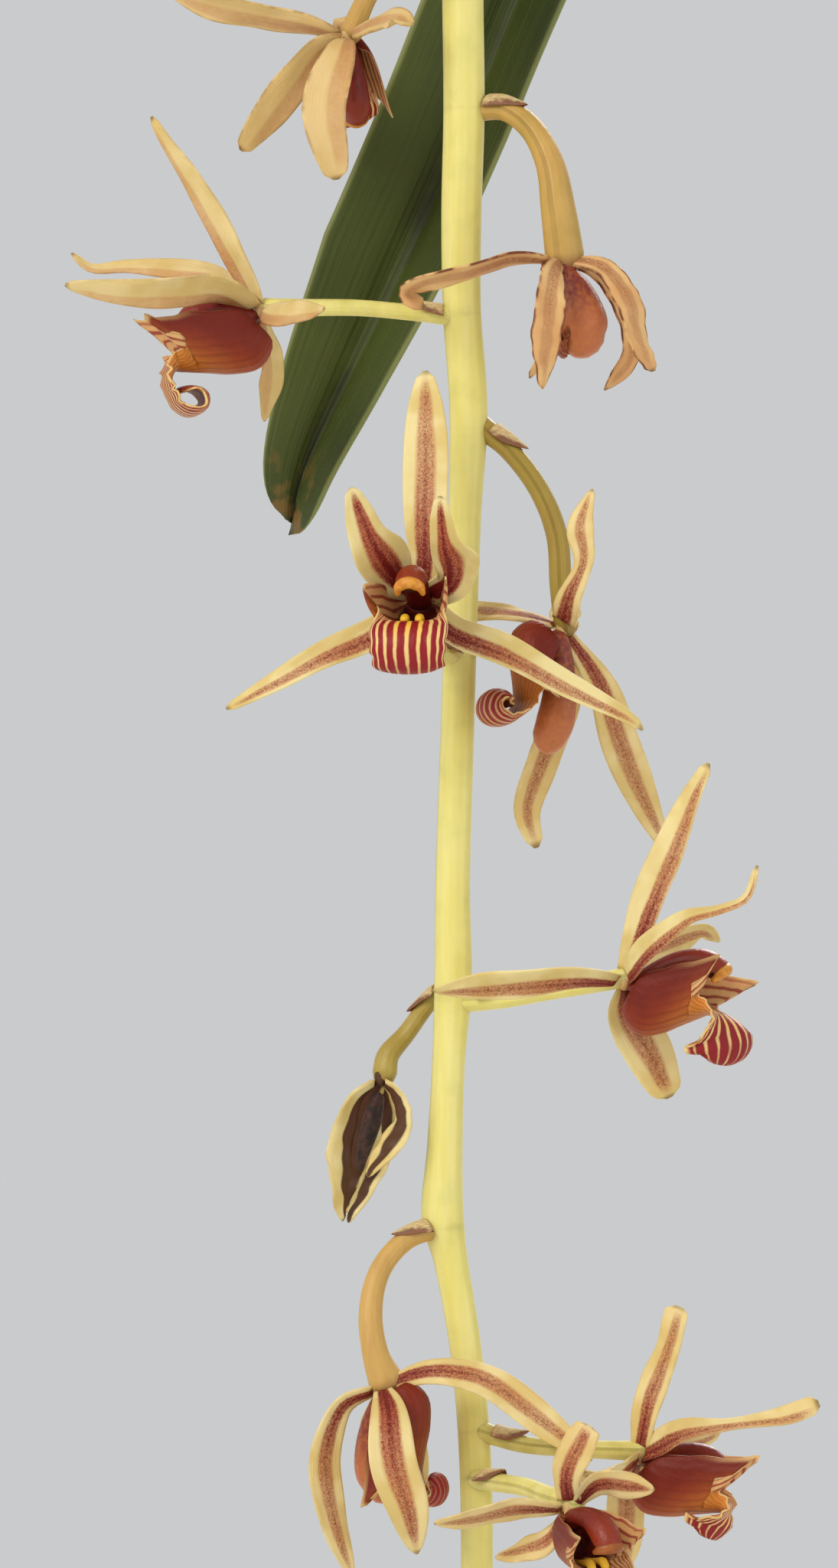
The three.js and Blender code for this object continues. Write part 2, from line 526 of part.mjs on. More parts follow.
function budOnStalk({ z, angle, length, radius }) {
  const foot = rachisAt(z);
  const side = outward(angle);
  const at = (reach, fall) => foot.clone().addScaledVector(side, reach).add(vec([0, 0, -fall]));
  return stem(
    [at(0.2, 0), at(length * 0.45, 0.5), at(length * 0.75, 1.6), at(length * 1.1, 4), at(length * 1.4, 7.4)],
    [0.7, 0.7, 0.9, radius, radius * 0.25], 5, 6,
  );
}

const spikePoints = spikeLine.map(([x, y, z]) => [x, y, z]);
const spikeRadii = spikeLine.map((row) => row[3]);
const spikeParts = [stem(spikePoints, spikeRadii, 7, 42)];
for (const flower of Object.values(flowers)) {
  const radii = flower.stalkRadii ?? [1.0, 0.95, 1.0, 1.15];
  const before = vec(flower.stalk.at(-1));
  const end = vec(flower.hub).add(before.sub(vec(flower.hub)).setLength(HUB_RADIUS + GAP));
  spikeParts.push(stem([...flower.stalk, end], radii, 5, 4));
  const foot = vec(flower.stalk[0]);
  const side = vec(flower.stalk[1]).sub(foot).setZ(0).normalize();
  if (flower.tepals) spikeParts.push(bract(rachisAt(foot.z), side));
}
spikeParts.push(...BUDS.map(budOnStalk));
addToSpike("flower_spike", join(spikeParts), "spike");

// Pot
const rimBottom = POT.rimZ - POT.collarHeight;
const baseZ = POT.rimZ - POT.height;
const shoulderRadius = POT.rimRadius - POT.collarStep;
const insideTop = POT.rimRadius - POT.wall - 1.5;
const insideBase = POT.baseRadius - POT.wall;
const ring = (outline, sides) => solid(
  new THREE.LatheGeometry(outline.map(([r, z]) => new THREE.Vector2(r, z)), sides).rotateX(Math.PI / 2),
);

const potOutline = [
  [POT.drainRadius, baseZ], [POT.baseRadius - 1.5, baseZ], [POT.baseRadius, baseZ + 1.5],
  [shoulderRadius, rimBottom - 0.5], [POT.rimRadius - 1.8, rimBottom], [POT.rimRadius, POT.rimZ - 2],
  [POT.rimRadius - 2, POT.rimZ], [insideTop + 1.5, POT.rimZ], [insideTop, POT.rimZ - 1.5],
  [insideBase, baseZ + POT.floor], [POT.drainRadius, baseZ + POT.floor], [POT.drainRadius, baseZ],
];
let pot = ring(potOutline, POT.sides);

// The pot hangs on the wires, so each wire bears on the upper side of its hole, which has flat sides.
const wireZ = POT.rimZ - WIRE.holeBelowRim;
const holeSides = 10;
const holeTop = WIRE.holeRadius * Math.cos(Math.PI / holeSides);
const holeZ = wireZ - (holeTop - WIRE.radius - GAP);
const wireAngles = Array.from({ length: WIRE.count }, (_, k) => WIRE.firstAngle + (360 / WIRE.count) * k);
for (const angle of wireAngles) {
  const hole = new THREE.CylinderGeometry(WIRE.holeRadius, WIRE.holeRadius, 3 * POT.wall, holeSides);
  hole.rotateZ(Math.PI / 2);
  hole.translate(POT.rimRadius - POT.wall / 2, 0, holeZ);
  hole.rotateZ(rad(angle));
  pot = pot.subtract(solid(hole));
}
addPiece("pot", pot, "clay");

// Wire hanger: a hook with a ferrule, and three wires that pass in through the rim's holes
const ferruleTop = HOOK.ferruleBottom + HOOK.ferruleHeight;
const crookZ = -HOOK.innerRadius;
const crookRadius = HOOK.innerRadius + HOOK.wireRadius;
const crookSteps = 10;
const crook = Array.from({ length: crookSteps + 1 }, (_, k) => {
  const angle = rad(mix(HOOK.openAngle, 180, k / crookSteps));
  return [crookRadius * Math.cos(angle), 0, crookZ + crookRadius * Math.sin(angle)];
});
const hookLine = [
  ...crook, [-crookRadius * 0.72, 0, crookZ - HOOK.throatDrop], [0, 0, HOOK.shankTop], [0, 0, ferruleTop - 2],
];
const hookTube = stem(hookLine, [HOOK.wireRadius, HOOK.wireRadius], 8, 24);
const ferrule = new THREE.CylinderGeometry(HOOK.ferruleRadius, HOOK.ferruleRadius, HOOK.ferruleHeight, 16)
  .rotateX(Math.PI / 2)
  .translate(0, 0, (ferruleTop + HOOK.ferruleBottom) / 2);

// A wire runs from the ferrule down past the rim, in through its hole, and turns up inside.
function hangerWire(angle, grow) {
  const at = (r, z) => outward(angle).multiplyScalar(r).setZ(z);
  const outside = POT.rimRadius + WIRE.clearOfRim;
  const line = [
    at(3, HOOK.ferruleBottom + 5), at(4.2, HOOK.ferruleBottom - 4), at(outside - 1.5, wireZ + 10),
    at(outside, wireZ + 2.6), at(outside - 1.8, wireZ + 0.3), at(outside - 5, wireZ),
    at(insideTop - 4, wireZ), at(insideTop - 6.6, wireZ + 1.2), at(insideTop - 7, wireZ + 5),
  ];
  return stem(line, [WIRE.radius + grow, WIRE.radius + grow], 6, line.length - 1);
}
let hook = join([hookTube, ferrule]);
wireAngles.forEach((angle, k) => {
  hook = hook.subtract(solid(hangerWire(angle, GAP)));
  addPiece(`hanger_wire_${k + 1}`, solid(hangerWire(angle, 0)), "wire");
});
addPiece("hanger_hook", largest(hook), "wire");

// Pseudobulbs with a root or two, standing in holes in the bark
const barkZ = POT.rimZ - BARK.belowRim;
const BULBS = {
  front: { at: [12, -26], radius: 16, height: 70, lean: [3, -3], roots: [215, 20] },
  left: { at: [-26, 8], radius: 17, height: 76, lean: [-4, 2], roots: [100, 240] },
  back: { at: [20, 28], radius: 16, height: 72, lean: [3, 4], roots: [150, 200] },
};

function bulbParts({ at: [x, y], radius, height, lean, roots }, grow) {
  const foot = barkZ - BULB_SUNK;
  const outline = [0.35, 0.85, 1.0, 0.97, 0.93, 0.8, 0.72, 0.5, 0.32];
  const line = outline.map((_, i) => {
    const t = i / (outline.length - 1);
    return [x + lean[0] * t * t, y + lean[1] * t * t, foot + height * t];
  });
  const bulb = stem(line, outline.map((r) => r * radius + grow), 10, outline.length - 1);
  const rootParts = roots.map((angle) => {
    const side = outward(angle);
    const point = (reach, rise) => vec([x, y, barkZ]).addScaledVector(side, reach).add(vec([0, 0, rise]));
    return stem([point(radius * 0.5, 4), point(radius + 3, 4.4), point(radius + 9, 2), point(radius + 14, -7)],
      [2.1 + grow, 1.9 + grow, 1.7 + grow, 1.2 + grow], 5, 4);
  });
  return join([bulb, ...rootParts]);
}

for (const [name, bulb] of Object.entries(BULBS)) {
  addPiece(`pseudobulb_${name}`, bulbParts(bulb, 0), "bulb");
}

// Potting bark: fills the pot, with chips lying over it
const insideAt = (z) => mix(insideTop, insideBase, (POT.rimZ - 1.5 - z) / (POT.height - POT.floor - 1.5));
const barkFloor = baseZ + POT.floor + GAP;
let bark = ring([
  [0, barkFloor], [insideAt(barkFloor) - GAP, barkFloor], [insideAt(barkZ - 2) - GAP, barkZ - 2],
  [insideAt(barkZ) - 2.5, barkZ], [0, barkZ],
], BARK.sides);
const golden = Math.PI * (3 - Math.sqrt(5));
for (let k = 0; k < BARK.chips; k += 1) {
  const reach = (insideTop - 12) * Math.sqrt((k + 0.5) / BARK.chips);
  const [long, wide, thick] = [mix(15, 21, random()), mix(9, 13, random()), mix(4, 6, random())];
  const chip = new THREE.BoxGeometry(long, wide, thick)
    .rotateX(mix(-0.35, 0.35, random())).rotateY(mix(-0.35, 0.35, random())).rotateZ(2 * Math.PI * random())
    .translate(reach * Math.cos(golden * k), reach * Math.sin(golden * k), barkZ + mix(-0.6, 0.8, random()));
  bark = bark.add(solid(chip));
}
for (const bulb of Object.values(BULBS)) bark = bark.subtract(bulbParts(bulb, GAP));
const footLine = PEDUNCLE.slice(0, 3).map(([x, y, z]) => vec([x, y, z]).add(SPIKE_ORIGIN));
bark = bark.subtract(solid(stem(footLine, PEDUNCLE.slice(0, 3).map((row) => row[3] + GAP), 8)));

// Leaves: each is an arch from its growth, or a line of its own. `start` is its lean from upright and
// `end` its lean at the tip, in degrees.
const LEAF = { width: 21, thickness: 1.8, steps: 12, tipSteps: [0.955, 0.98, 1], tipTaper: 0.07 };
const LEAVES = {
  photographed: { bulb: "front", line: [
    [18.5, -36, -286], [21.5, -42, -262], [29, -54, -228], [43, -68, -212], [57, -77, -236], [58, -80, -290], [50, -79, -350],
    [31, -77, -410], [3.4, -75, -470], [-4.8, -75, -490], [-11.6, -75, -506], [-17, -75, -520.5],
  ], width: 16.4, across: [[0.74, 0.67, 0], [0.8, -0.55, -0.3]] },
  front_left: { bulb: "front", angle: 222, length: 380, start: 22, end: 150 },
  front_right: { bulb: "front", angle: 23, length: 400, start: 24, end: 132 },
  front_tall: { bulb: "front", angle: 285, length: 330, start: 6, end: 96 },
  left_low: { bulb: "left", angle: 182, length: 410, start: 30, end: 140 },
  left_back: { bulb: "left", angle: 150, length: 390, start: 18, end: 118 },
  left_side: { bulb: "left", angle: 232, length: 350, start: 34, end: 158 },
  left_tall: { bulb: "left", angle: 120, length: 320, start: 6, end: 88 },
  back_right: { bulb: "back", angle: 40, length: 400, start: 28, end: 136 },
  back_low: { bulb: "back", angle: 112, length: 390, start: 30, end: 148 },
  back_mid: { bulb: "back", angle: 64, length: 410, start: 16, end: 120 },
  back_tall: { bulb: "back", angle: 84, length: 310, start: 4, end: 80 },
};

function leafLine({ bulb, angle, length, start, end }) {
  const { at: [x, y], height, lean, radius } = BULBS[bulb];
  const side = outward(angle);
  const offset = radius * 0.32 * (start / 20);
  const point = vec([x + lean[0], y + lean[1], barkZ - BULB_SUNK + height - 14]).addScaledVector(side, offset);
  const line = [point.clone()];
  const pieces = 10;
  for (let i = 0; i < pieces; i += 1) {
    const slope = rad(mix(start, end, ((i + 0.5) / pieces) ** 1.25));
    point.addScaledVector(side, (length / pieces) * Math.sin(slope));
    point.z += (length / pieces) * Math.cos(slope);
    line.push(point.clone());
  }
  return line;
}

// A strap leaf: narrow and folded at its foot, wide and shallow further out, blunt and notched at the tip.
function leafBlade({ line, width = LEAF.width, across: [footSide, tipSide] }) {
  const curve = new THREE.CatmullRomCurve3(line.map(vec), false, "centripetal");
  const grid = [];
  const plain = Array.from({ length: LEAF.steps }, (_, i) => (0.92 * i) / (LEAF.steps - 1));
  for (const t of [...plain, ...LEAF.tipSteps]) {
    const [centre, along] = [curve.getPointAt(t), curve.getTangentAt(t)];
    const side = vec(footSide).lerp(vec(tipSide), Math.min(Math.max((t - 0.2) / 0.35, 0), 1));
    const across = side.addScaledVector(along, -side.dot(along)).normalize();
    const normal = along.clone().cross(across);
    const toTip = Math.max(0, (t - 1 + LEAF.tipTaper) / LEAF.tipTaper);
    const half = (width / 2) * mix(0.55, 1, Math.min(t / 0.4, 1)) * Math.sqrt(1 - 0.94 * toTip ** 2);
    const lift = half * mix(0.5, 0.14, Math.min(t / 0.5, 1));
    const notch = t === 1 ? 1.6 : 0;
    grid.push([-1, 0, 1].map((v) => centre.clone()
      .addScaledVector(across, v * half)
      .addScaledVector(normal, Math.abs(v) * lift)
      .addScaledVector(along, v === 0 ? -notch : (v - 1) * notch * 0.3)));
  }
  return sheet(grid, LEAF.thickness);
}

for (const [name, leaf] of Object.entries(LEAVES)) {
  const line = leaf.line ?? leafLine(leaf);
  const level = leaf.line ? null : outward(leaf.angle + 90);
  let body = solid(leafBlade({ across: [level, level], ...leaf, line }));
  for (const bulb of Object.values(BULBS)) body = body.subtract(bulbParts(bulb, GAP));
  addPiece(`leaf_${name}`, largest(body), "leaf");
}

addPiece("potting_bark", largest(bark), "bark");

export default orchid;
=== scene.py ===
# %% [markdown]
# # A Cymbidium aloifolium in a hanging clay pot
#
# This lesson dresses a plain model of a potted orchid. The model comes as a frame of simple solids, and
# every piece made here takes the place of one of them. The flowers are the main work: sepals and petals
# with a stippled stripe, a hooded lip with a striped tongue, and a column with its anther.
#
# Numbers are in millimetres until a piece is made. Blender itself works in metres.

# %% The frame
import json

import bpy
import numpy as np
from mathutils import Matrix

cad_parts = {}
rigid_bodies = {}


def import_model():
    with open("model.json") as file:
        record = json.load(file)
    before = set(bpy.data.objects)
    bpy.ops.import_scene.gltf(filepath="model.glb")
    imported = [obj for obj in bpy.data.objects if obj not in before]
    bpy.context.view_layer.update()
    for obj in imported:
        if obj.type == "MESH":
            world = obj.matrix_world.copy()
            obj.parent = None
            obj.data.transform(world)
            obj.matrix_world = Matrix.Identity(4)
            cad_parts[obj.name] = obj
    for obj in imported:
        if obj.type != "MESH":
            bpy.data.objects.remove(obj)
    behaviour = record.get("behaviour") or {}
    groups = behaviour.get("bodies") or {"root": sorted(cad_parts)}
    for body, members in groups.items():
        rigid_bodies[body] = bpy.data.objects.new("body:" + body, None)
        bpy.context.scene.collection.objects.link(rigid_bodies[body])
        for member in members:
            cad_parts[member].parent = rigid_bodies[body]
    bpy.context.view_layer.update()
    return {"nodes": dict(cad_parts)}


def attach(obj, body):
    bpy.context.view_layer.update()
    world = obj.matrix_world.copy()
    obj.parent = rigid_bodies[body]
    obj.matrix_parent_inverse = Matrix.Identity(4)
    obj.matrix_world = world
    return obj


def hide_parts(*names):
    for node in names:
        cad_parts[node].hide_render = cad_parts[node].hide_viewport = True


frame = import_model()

print("nodes in the frame:", len(frame["nodes"]))

# %% [markdown]
# ## The camera
# The picture looks level at the middle of the flower spike, from so far away that nothing is
# foreshortened. A long lens does that. The picture is 152 mm high where the spike hangs, so the lens
# follows from the distance: half the sensor is to the lens as half the picture's height is to the
# distance.

# %% Camera
MM = 0.001
SPIKE_ORIGIN = np.array([-4.0, -95.0, -546.0])
PICTURE_HEIGHT = 151.7
DISTANCE = 1200.0
SENSOR_WIDTH = 36.0
NEAREST_SEEN = 0.05


def placed(name, data):
    """Puts a new object with this mesh, lamp or camera into the scene."""
    thing = bpy.data.objects.new(name, data)
    bpy.context.scene.collection.objects.link(thing)
    return thing


lens_data = bpy.data.cameras.new("camera")
lens_data.sensor_width = SENSOR_WIDTH
lens_data.lens = SENSOR_WIDTH * DISTANCE / PICTURE_HEIGHT
lens_data.clip_start = NEAREST_SEEN
camera = placed("camera", lens_data)
camera.location = (SPIKE_ORIGIN - [0, DISTANCE, 0]) * MM
camera.rotation_euler = (np.pi / 2, 0, 0)
bpy.context.scene.camera = camera
print("lens in mm:", round(lens_data.lens, 1))

# %% [markdown]
# ## Curves through a few points
# A stalk, a petal and a leaf all start as a few points that a smooth curve runs through. The curve is
# centripetal Catmull-Rom: it never loops or overshoots, however unevenly the points are spaced. Blender
# has Bezier curves too, but here the places along the curve are needed as numbers.

# %% Curves
FINE_STEPS = 24


def unit(vectors):
    return vectors / np.linalg.norm(vectors, axis=-1, keepdims=True)


def spline(points, count):
    """Even places along the curve through the points, the direction at each, and its place in the list."""
    given = np.array(points, float)
    guides = np.vstack([2 * given[0] - given[1], given, 2 * given[-1] - given[-2]])
    knots = np.append(0, np.cumsum(np.linalg.norm(np.diff(guides, axis=0), axis=1) ** 0.5))
    places, stations = [], []
    for i in range(len(given) - 1):
        p0, p1, p2, p3 = guides[i:i + 4]
        t0, t1, t2, t3 = knots[i:i + 4]
        last = i == len(given) - 2
        t = np.linspace(t1, t2, FINE_STEPS + last, endpoint=last)[:, None]
        a = (p0 * (t1 - t) + p1 * (t - t0)) / (t1 - t0)
        b = (p1 * (t2 - t) + p2 * (t - t1)) / (t2 - t1)
        c = (p2 * (t3 - t) + p3 * (t - t2)) / (t3 - t2)
        d = (a * (t2 - t) + b * (t - t0)) / (t2 - t0)
        e = (b * (t3 - t) + c * (t - t1)) / (t3 - t1)
        places.append((d * (t2 - t) + e * (t - t1)) / (t2 - t1))
        stations.append(i + (t[:, 0] - t1) / (t2 - t1))
    places, stations = np.vstack(places), np.concatenate(stations)
    length = np.append(0, np.cumsum(np.linalg.norm(np.diff(places, axis=0), axis=1)))
    wanted = np.linspace(0, length[-1], count)
    even = np.stack([np.interp(wanted, length, places[:, k]) for k in range(3)], axis=1)
    return even, unit(np.gradient(even, axis=0)), np.interp(wanted, length, stations)


def smooth(values, places):
    """Values given at the places 0, 1, 2 and so on, read smoothly between them."""
    values = np.array(values, float)
    values = np.concatenate([2 * values[:1] - values[1:2], values, 2 * values[-1:] - values[-2:-1]])
    low = np.clip(np.floor(places).astype(int), 0, len(values) - 4)
    t = (np.asarray(places) - low).reshape(-1, *[1] * (values.ndim - 1))
    a, b, c, d = (values[low + k] for k in range(4))
    curved = t**2 * (a - 2.5 * b + 2 * c - d / 2) + t**3 * (1.5 * (b - c) + (d - a) / 2)
    return b + t * (c - a) / 2 + curved


def mix(a, b, t):
    return a + (b - a) * t


bend = spline([(0, 0, 0), (10, 0, 0), (10, 10, 0)], 5)[0]
print("a bend through three points:", np.round(bend, 1).tolist())

# %% [markdown]
# ## Shapes with marks
# A petal is painted by where a point lies on it: how far along, how far across, on the face or on the
# back. Each of these is kept with the points as a named number, a mark, and a material reads it later. A
# shape collects points, faces and marks of several parts, and then becomes one piece.

# %% Shapes
class Shape:
    def __init__(self):
        self.points = np.zeros((0, 3))
        self.faces = []
        self.marks = {}

    def add(self, points, faces, **marks):
        start, count = len(self.points), len(points)
        self.points = np.vstack([self.points, points])
        self.faces += [tuple(start + i for i in face) for face in faces]
        for name in {**self.marks, **marks}:
            before = self.marks.get(name, np.zeros(start))
            self.marks[name] = np.append(before, np.broadcast_to(marks.get(name, 0.0), count))


def mesh_object(name, points, edges, faces, marks, origin):
    """Makes an object of points in mm from an origin, with the marks as attributes of its points."""
    mesh = bpy.data.meshes.new(name)
    mesh.from_pydata(((np.array(points) + origin) * MM).tolist(), edges, faces)
    for mark, numbers in marks.items():
        attribute = mesh.attributes.new(mark, "FLOAT", "POINT")
        attribute.data.foreach_set("value", np.array(numbers, np.float32))
    return placed(name, mesh)


def object_of(shape, name, *materials, origin=SPIKE_ORIGIN):
    """Makes a smooth object of a shape. Its points are in mm from the spike's middle or another origin."""
    thing = mesh_object(name, shape.points, [], shape.faces, shape.marks, origin)
    thing.data.polygons.foreach_set("use_smooth", [True] * len(thing.data.polygons))
    for material in materials:
        thing.data.materials.append(material)
    thing.data.update()
    return thing


def hand_in(piece, slot, *nodes):
    """Lets a finished piece ride with the plant in place of the nodes it stands for."""
    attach(piece, "root")
    if nodes:
        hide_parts(*nodes)
    return piece


trial = Shape()
trial.add([(0, 0, 0), (1, 0, 0), (0, 1, 0)], [(0, 1, 2)], along=[0, 1, 1])
print("a test shape has the marks", list(trial.marks))

# %% [markdown]
# ## Thin sheets
# Petals, lips, leaves and bracts are sheets. A Solidify modifier could thicken a surface, but these thin
# out to nothing at their edges. So both faces are made here, and they share the points of the border.

# %% Sheets
def add_sheet(shape, grid, thickness, across, along, towards=None, **marks):
    """Adds a thin closed body round a grid of points. Its two faces share the points of the border. The
    mark `side` is 1 on the face to which the grid's normals point, or on the one that looks at
    `towards`."""
    rows, columns = grid.shape[:2]
    normal = unit(np.cross(np.gradient(grid, axis=0), np.gradient(grid, axis=1)) + 1e-12)
    half = normal * np.broadcast_to(thickness, (rows, columns))[..., None] / 2
    inside = np.zeros((rows, columns), bool)
    inside[1:-1, 1:-1] = True
    top = np.arange(rows * columns).reshape(rows, columns)
    bottom = top.copy()
    bottom[inside] = rows * columns + np.arange(inside.sum())
    points = np.where(inside[..., None], grid + half, grid).reshape(-1, 3)
    points = np.vstack([points, (grid - half)[inside]])
    faces = []
    for near, far, near_below, far_below in zip(top, top[1:], bottom, bottom[1:]):
        for k in range(columns - 1):
            faces.append((near[k], far[k], far[k + 1], near[k + 1]))
            faces.append((near_below[k + 1], far_below[k + 1], far_below[k], near_below[k]))
    for name, values in {"across": across, "along": along}.items():
        values = np.broadcast_to(values, (rows, columns))
        marks[name] = np.append(values.reshape(-1), values[inside])
    side = np.append(np.where(inside, 1.0, 0.5).reshape(-1), np.zeros(inside.sum()))
    if towards is not None:
        middle = rows // 2
        if np.sum(normal[middle].mean(0) * (np.array(towards) - grid[middle].mean(0))) <= 0:
            side = 1 - side
    shape.add(points, faces, side=side, **marks)


plane = np.stack([*np.meshgrid(np.arange(4.0), np.arange(5.0)), np.zeros((5, 4))], axis=-1)
trial = Shape()
add_sheet(trial, plane, 0.2, 0, 0)
print("a test sheet has", len(trial.faces), "faces")

# %% [markdown]
# ## Round bodies
# A ridge, a column and a pot are rings of points. Two small functions give the faces between two rings
# and between a ring and a middle point, and a tube with round ends is the first body made of them.

# %% Tubes
def ring_faces(low, high, sides):
    """The faces between two rings of points, whose first points have the numbers `low` and `high`."""
    following = [(k + 1) % sides for k in range(sides)]
    return [(low + k, low + n, high + n, high + k) for k, n in enumerate(following)]


def fan_faces(middle, ring, sides):
    """The faces between a middle point and the ring of points round it."""
    return [(middle, ring + k, ring + (k + 1) % sides) for k in range(sides)]


def turned_over(faces):
    return [(face[0], *face[:0:-1]) for face in faces]


CAP_ANGLES = np.radians([70, 45, 20])


def tube(line, radii, sides=14, rows=None):
    """A closed tube along a line, with a radius at each of its points and round ends."""
    rows = rows or (len(line) - 1) * 4 + 1
    centre, along, station = spline(line, rows)
    radius = smooth(radii, station)
    side = np.cross(along[0], [0, 0, 1.0] if abs(along[0][2]) < 0.9 else [1.0, 0, 0])
    rings = []
    for place, way in zip(centre, along):
        side = unit(side - way * (side @ way))
        rings.append((place, side, np.cross(way, side)))
    turn = np.linspace(0, 2 * np.pi, sides, endpoint=False)
    steps = [(0, -np.sin(a), np.cos(a)) for a in CAP_ANGLES]
    steps += [(i, 0, 1) for i in range(rows)]
    steps += [(rows - 1, np.sin(a), np.cos(a)) for a in CAP_ANGLES[::-1]]
    points = [centre[0] - along[0] * radius[0]]
    for i, push, shrink in steps:
        place, first, second = rings[i]
        place = place + along[i] * push * radius[i]
        ring = np.cos(turn)[:, None] * first + np.sin(turn)[:, None] * second
        points.extend(place + ring * radius[i] * shrink)
    points.append(centre[-1] + along[-1] * radius[-1])
    last = len(points) - 1
    faces = turned_over(fan_faces(0, 1, sides)) + fan_faces(last, last - sides, sides)
    for low in range(1, last - sides, sides):
        faces += ring_faces(low, low + sides, sides)
    along_mark = np.concatenate([[0], np.repeat([i / (rows - 1) for i, _, _ in steps], sides), [1]])
    return np.array(points), faces, along_mark


print("a test tube has", len(tube([(0, 0, 0), (0, 0, 5)], [1, 1])[0]), "points")

# %% [markdown]
# ## Nodes from a script
# Materials and Geometry Nodes are both trees of nodes. One function adds a node of any type, first its
# settings and then the values or links of its sockets. Maths on a surface reads better as plain Python,
# so a small class wraps a socket and turns `1 - mask * 2` into Math nodes.

# %% Nodes
def add_node(tree, kind, settings=None, **values):
    """Adds a node. A socket goes by its identifier or its name, with spaces as underscores."""
    node = tree.nodes.new(kind)
    for name, value in (settings or {}).items():
        setattr(node, name, value)
    for name, value in values.items():
        label = name.replace("_", " ")
        socket = next(s for s in node.inputs if name == s.identifier or label in (s.identifier, s.name))
        value = getattr(value, "socket", value)
        if isinstance(value, bpy.types.NodeSocket):
            tree.links.new(value, socket)
        else:
            socket.default_value = value
    return node


class Number:
    """A number that changes over a surface or a shape."""

    def __init__(self, tree, socket):
        self.tree = tree
        self.socket = socket

    def maths(self, operation, *values):
        sockets = dict(zip(("Value", "Value_001"), values))
        node = add_node(self.tree, "ShaderNodeMath", {"operation": operation}, **sockets)
        return Number(self.tree, node.outputs[0])

    def __add__(self, other):
        return self.maths("ADD", self, other)

    def __sub__(self, other):
        return self.maths("SUBTRACT", self, other)

    def __rsub__(self, other):
        return self.maths("SUBTRACT", other, self)

    def __mul__(self, other):
        return self.maths("MULTIPLY", self, other)

    def __abs__(self):
        return self.maths("ABSOLUTE", self)

    __radd__ = __add__
    __rmul__ = __mul__

    def cos(self):
        return self.maths("COSINE", self)

    def larger(self, other):
        return self.maths("MAXIMUM", self, other)

    def smaller(self, other):
        return self.maths("MINIMUM", self, other)

    def clear(self):
        return self.larger(0.0).smaller(1.0)

    def rise(self, low, high):
        """0 below low and 1 above high, or the other way round where low is the larger."""
        ends = {"From_Min": min(low, high), "From_Max": max(low, high)}
        ends |= {"To_Min": float(low > high), "To_Max": float(low <= high)}
        settings = {"interpolation_type": "SMOOTHSTEP"}
        node = add_node(self.tree, "ShaderNodeMapRange", settings, Value=self, **ends)
        return Number(self.tree, node.outputs[0])


print("maths on a surface:", [name for name in vars(Number) if name[0] != "_"])

# %% [markdown]
# ## Materials
# One class holds a material. It sets its shader's fixed sockets by name, and its methods add what all the
# finishes share: a shape's marks, noise in mm, a blend of two colours, and bumps.

# %% Materials
def colour(red, green, blue):
    """A colour as seen on a screen, from 0 to 255, in the linear numbers that Blender works with."""
    seen = np.array([red, green, blue]) / 255
    linear = np.where(seen < 0.04045, seen / 12.92, ((seen + 0.055) / 1.055) ** 2.4)
    return (*linear.tolist(), 1.0)


class Surface:
    """A material, with its shader's fixed sockets set by name."""

    def __init__(self, name, **fixed):
        self.material = bpy.data.materials.new(name)
        self.material.use_nodes = True
        self.tree = self.material.node_tree
        self.shader = self.tree.nodes["Principled BSDF"]
        for socket, value in fixed.items():
            self.shader.inputs[socket.replace("_", " ")].default_value = value
        self.coordinates = add_node(self.tree, "ShaderNodeTexCoord").outputs["Object"]

    def mark(self, name):
        node = add_node(self.tree, "ShaderNodeAttribute", {"attribute_name": name})
        return Number(self.tree, node.outputs["Fac"])

    def marks(self, names):
        return [self.mark(name) for name in names.split()]

    def place(self, stretch):
        settings = {"vector_type": "POINT"}
        vector = self.coordinates
        return add_node(self.tree, "ShaderNodeMapping", settings, Vector=vector, Scale=stretch).outputs[0]

    def noise(self, size, detail=2.0, stretch=(1, 1, 1), rough=0.5, where=None):
        """Cloudy noise from 0 to 1 whose blotches are about `size` mm."""
        where = where or self.place(stretch)
        node = add_node(self.tree, "ShaderNodeTexNoise", None, Vector=where, Scale=1 / (size * MM),
                        Detail=detail, Roughness=rough)
        return Number(self.tree, node.outputs["Fac"])

    def cells(self, size):
        """The distance from the nearest of many scattered points, about `size` mm apart."""
        where = self.place((1, 1, 1))
        node = add_node(self.tree, "ShaderNodeTexVoronoi", None, Vector=where, Scale=1 / (size * MM))
        return Number(self.tree, node.outputs["Distance"])

    def flow(self, x, y):
        """A vector of two numbers, in mm, for noise that follows the surface."""
        return add_node(self.tree, "ShaderNodeCombineXYZ", X=x * MM, Y=y * MM).outputs[0]

    def blend(self, factor, first, second):
        sockets = {"Factor_Float": factor, "A_Color": first, "B_Color": second}
        return add_node(self.tree, "ShaderNodeMix", {"data_type": "RGBA"}, **sockets).outputs[2]

    def paint(self, colour_socket, roughness=None):
        self.tree.links.new(colour_socket, self.shader.inputs["Base Color"])
        if roughness is not None:
            self.tree.links.new(roughness.socket, self.shader.inputs["Roughness"])

    def relief(self, height, depth):
        """Bumps of about `depth` mm where the height goes from 0 to 1."""
        node = add_node(self.tree, "ShaderNodeBump", None, Height=height, Distance=depth * MM)
        self.tree.links.new(node.outputs[0], self.shader.inputs["Normal"])


print("white is", colour(255, 255, 255))

# %% [markdown]
# ## The skin of a sepal or petal
# Each is cream to yellow, with a maroon band down the middle. Close up the band isn't solid: it is made
# of tiny dots, dense along the midrib and along one line on each side of it. So the band is worked out as
# a density first, and fine noise then decides which dots of it show. The back is paler and its band is
# blurred, and an ageing flower turns tan.

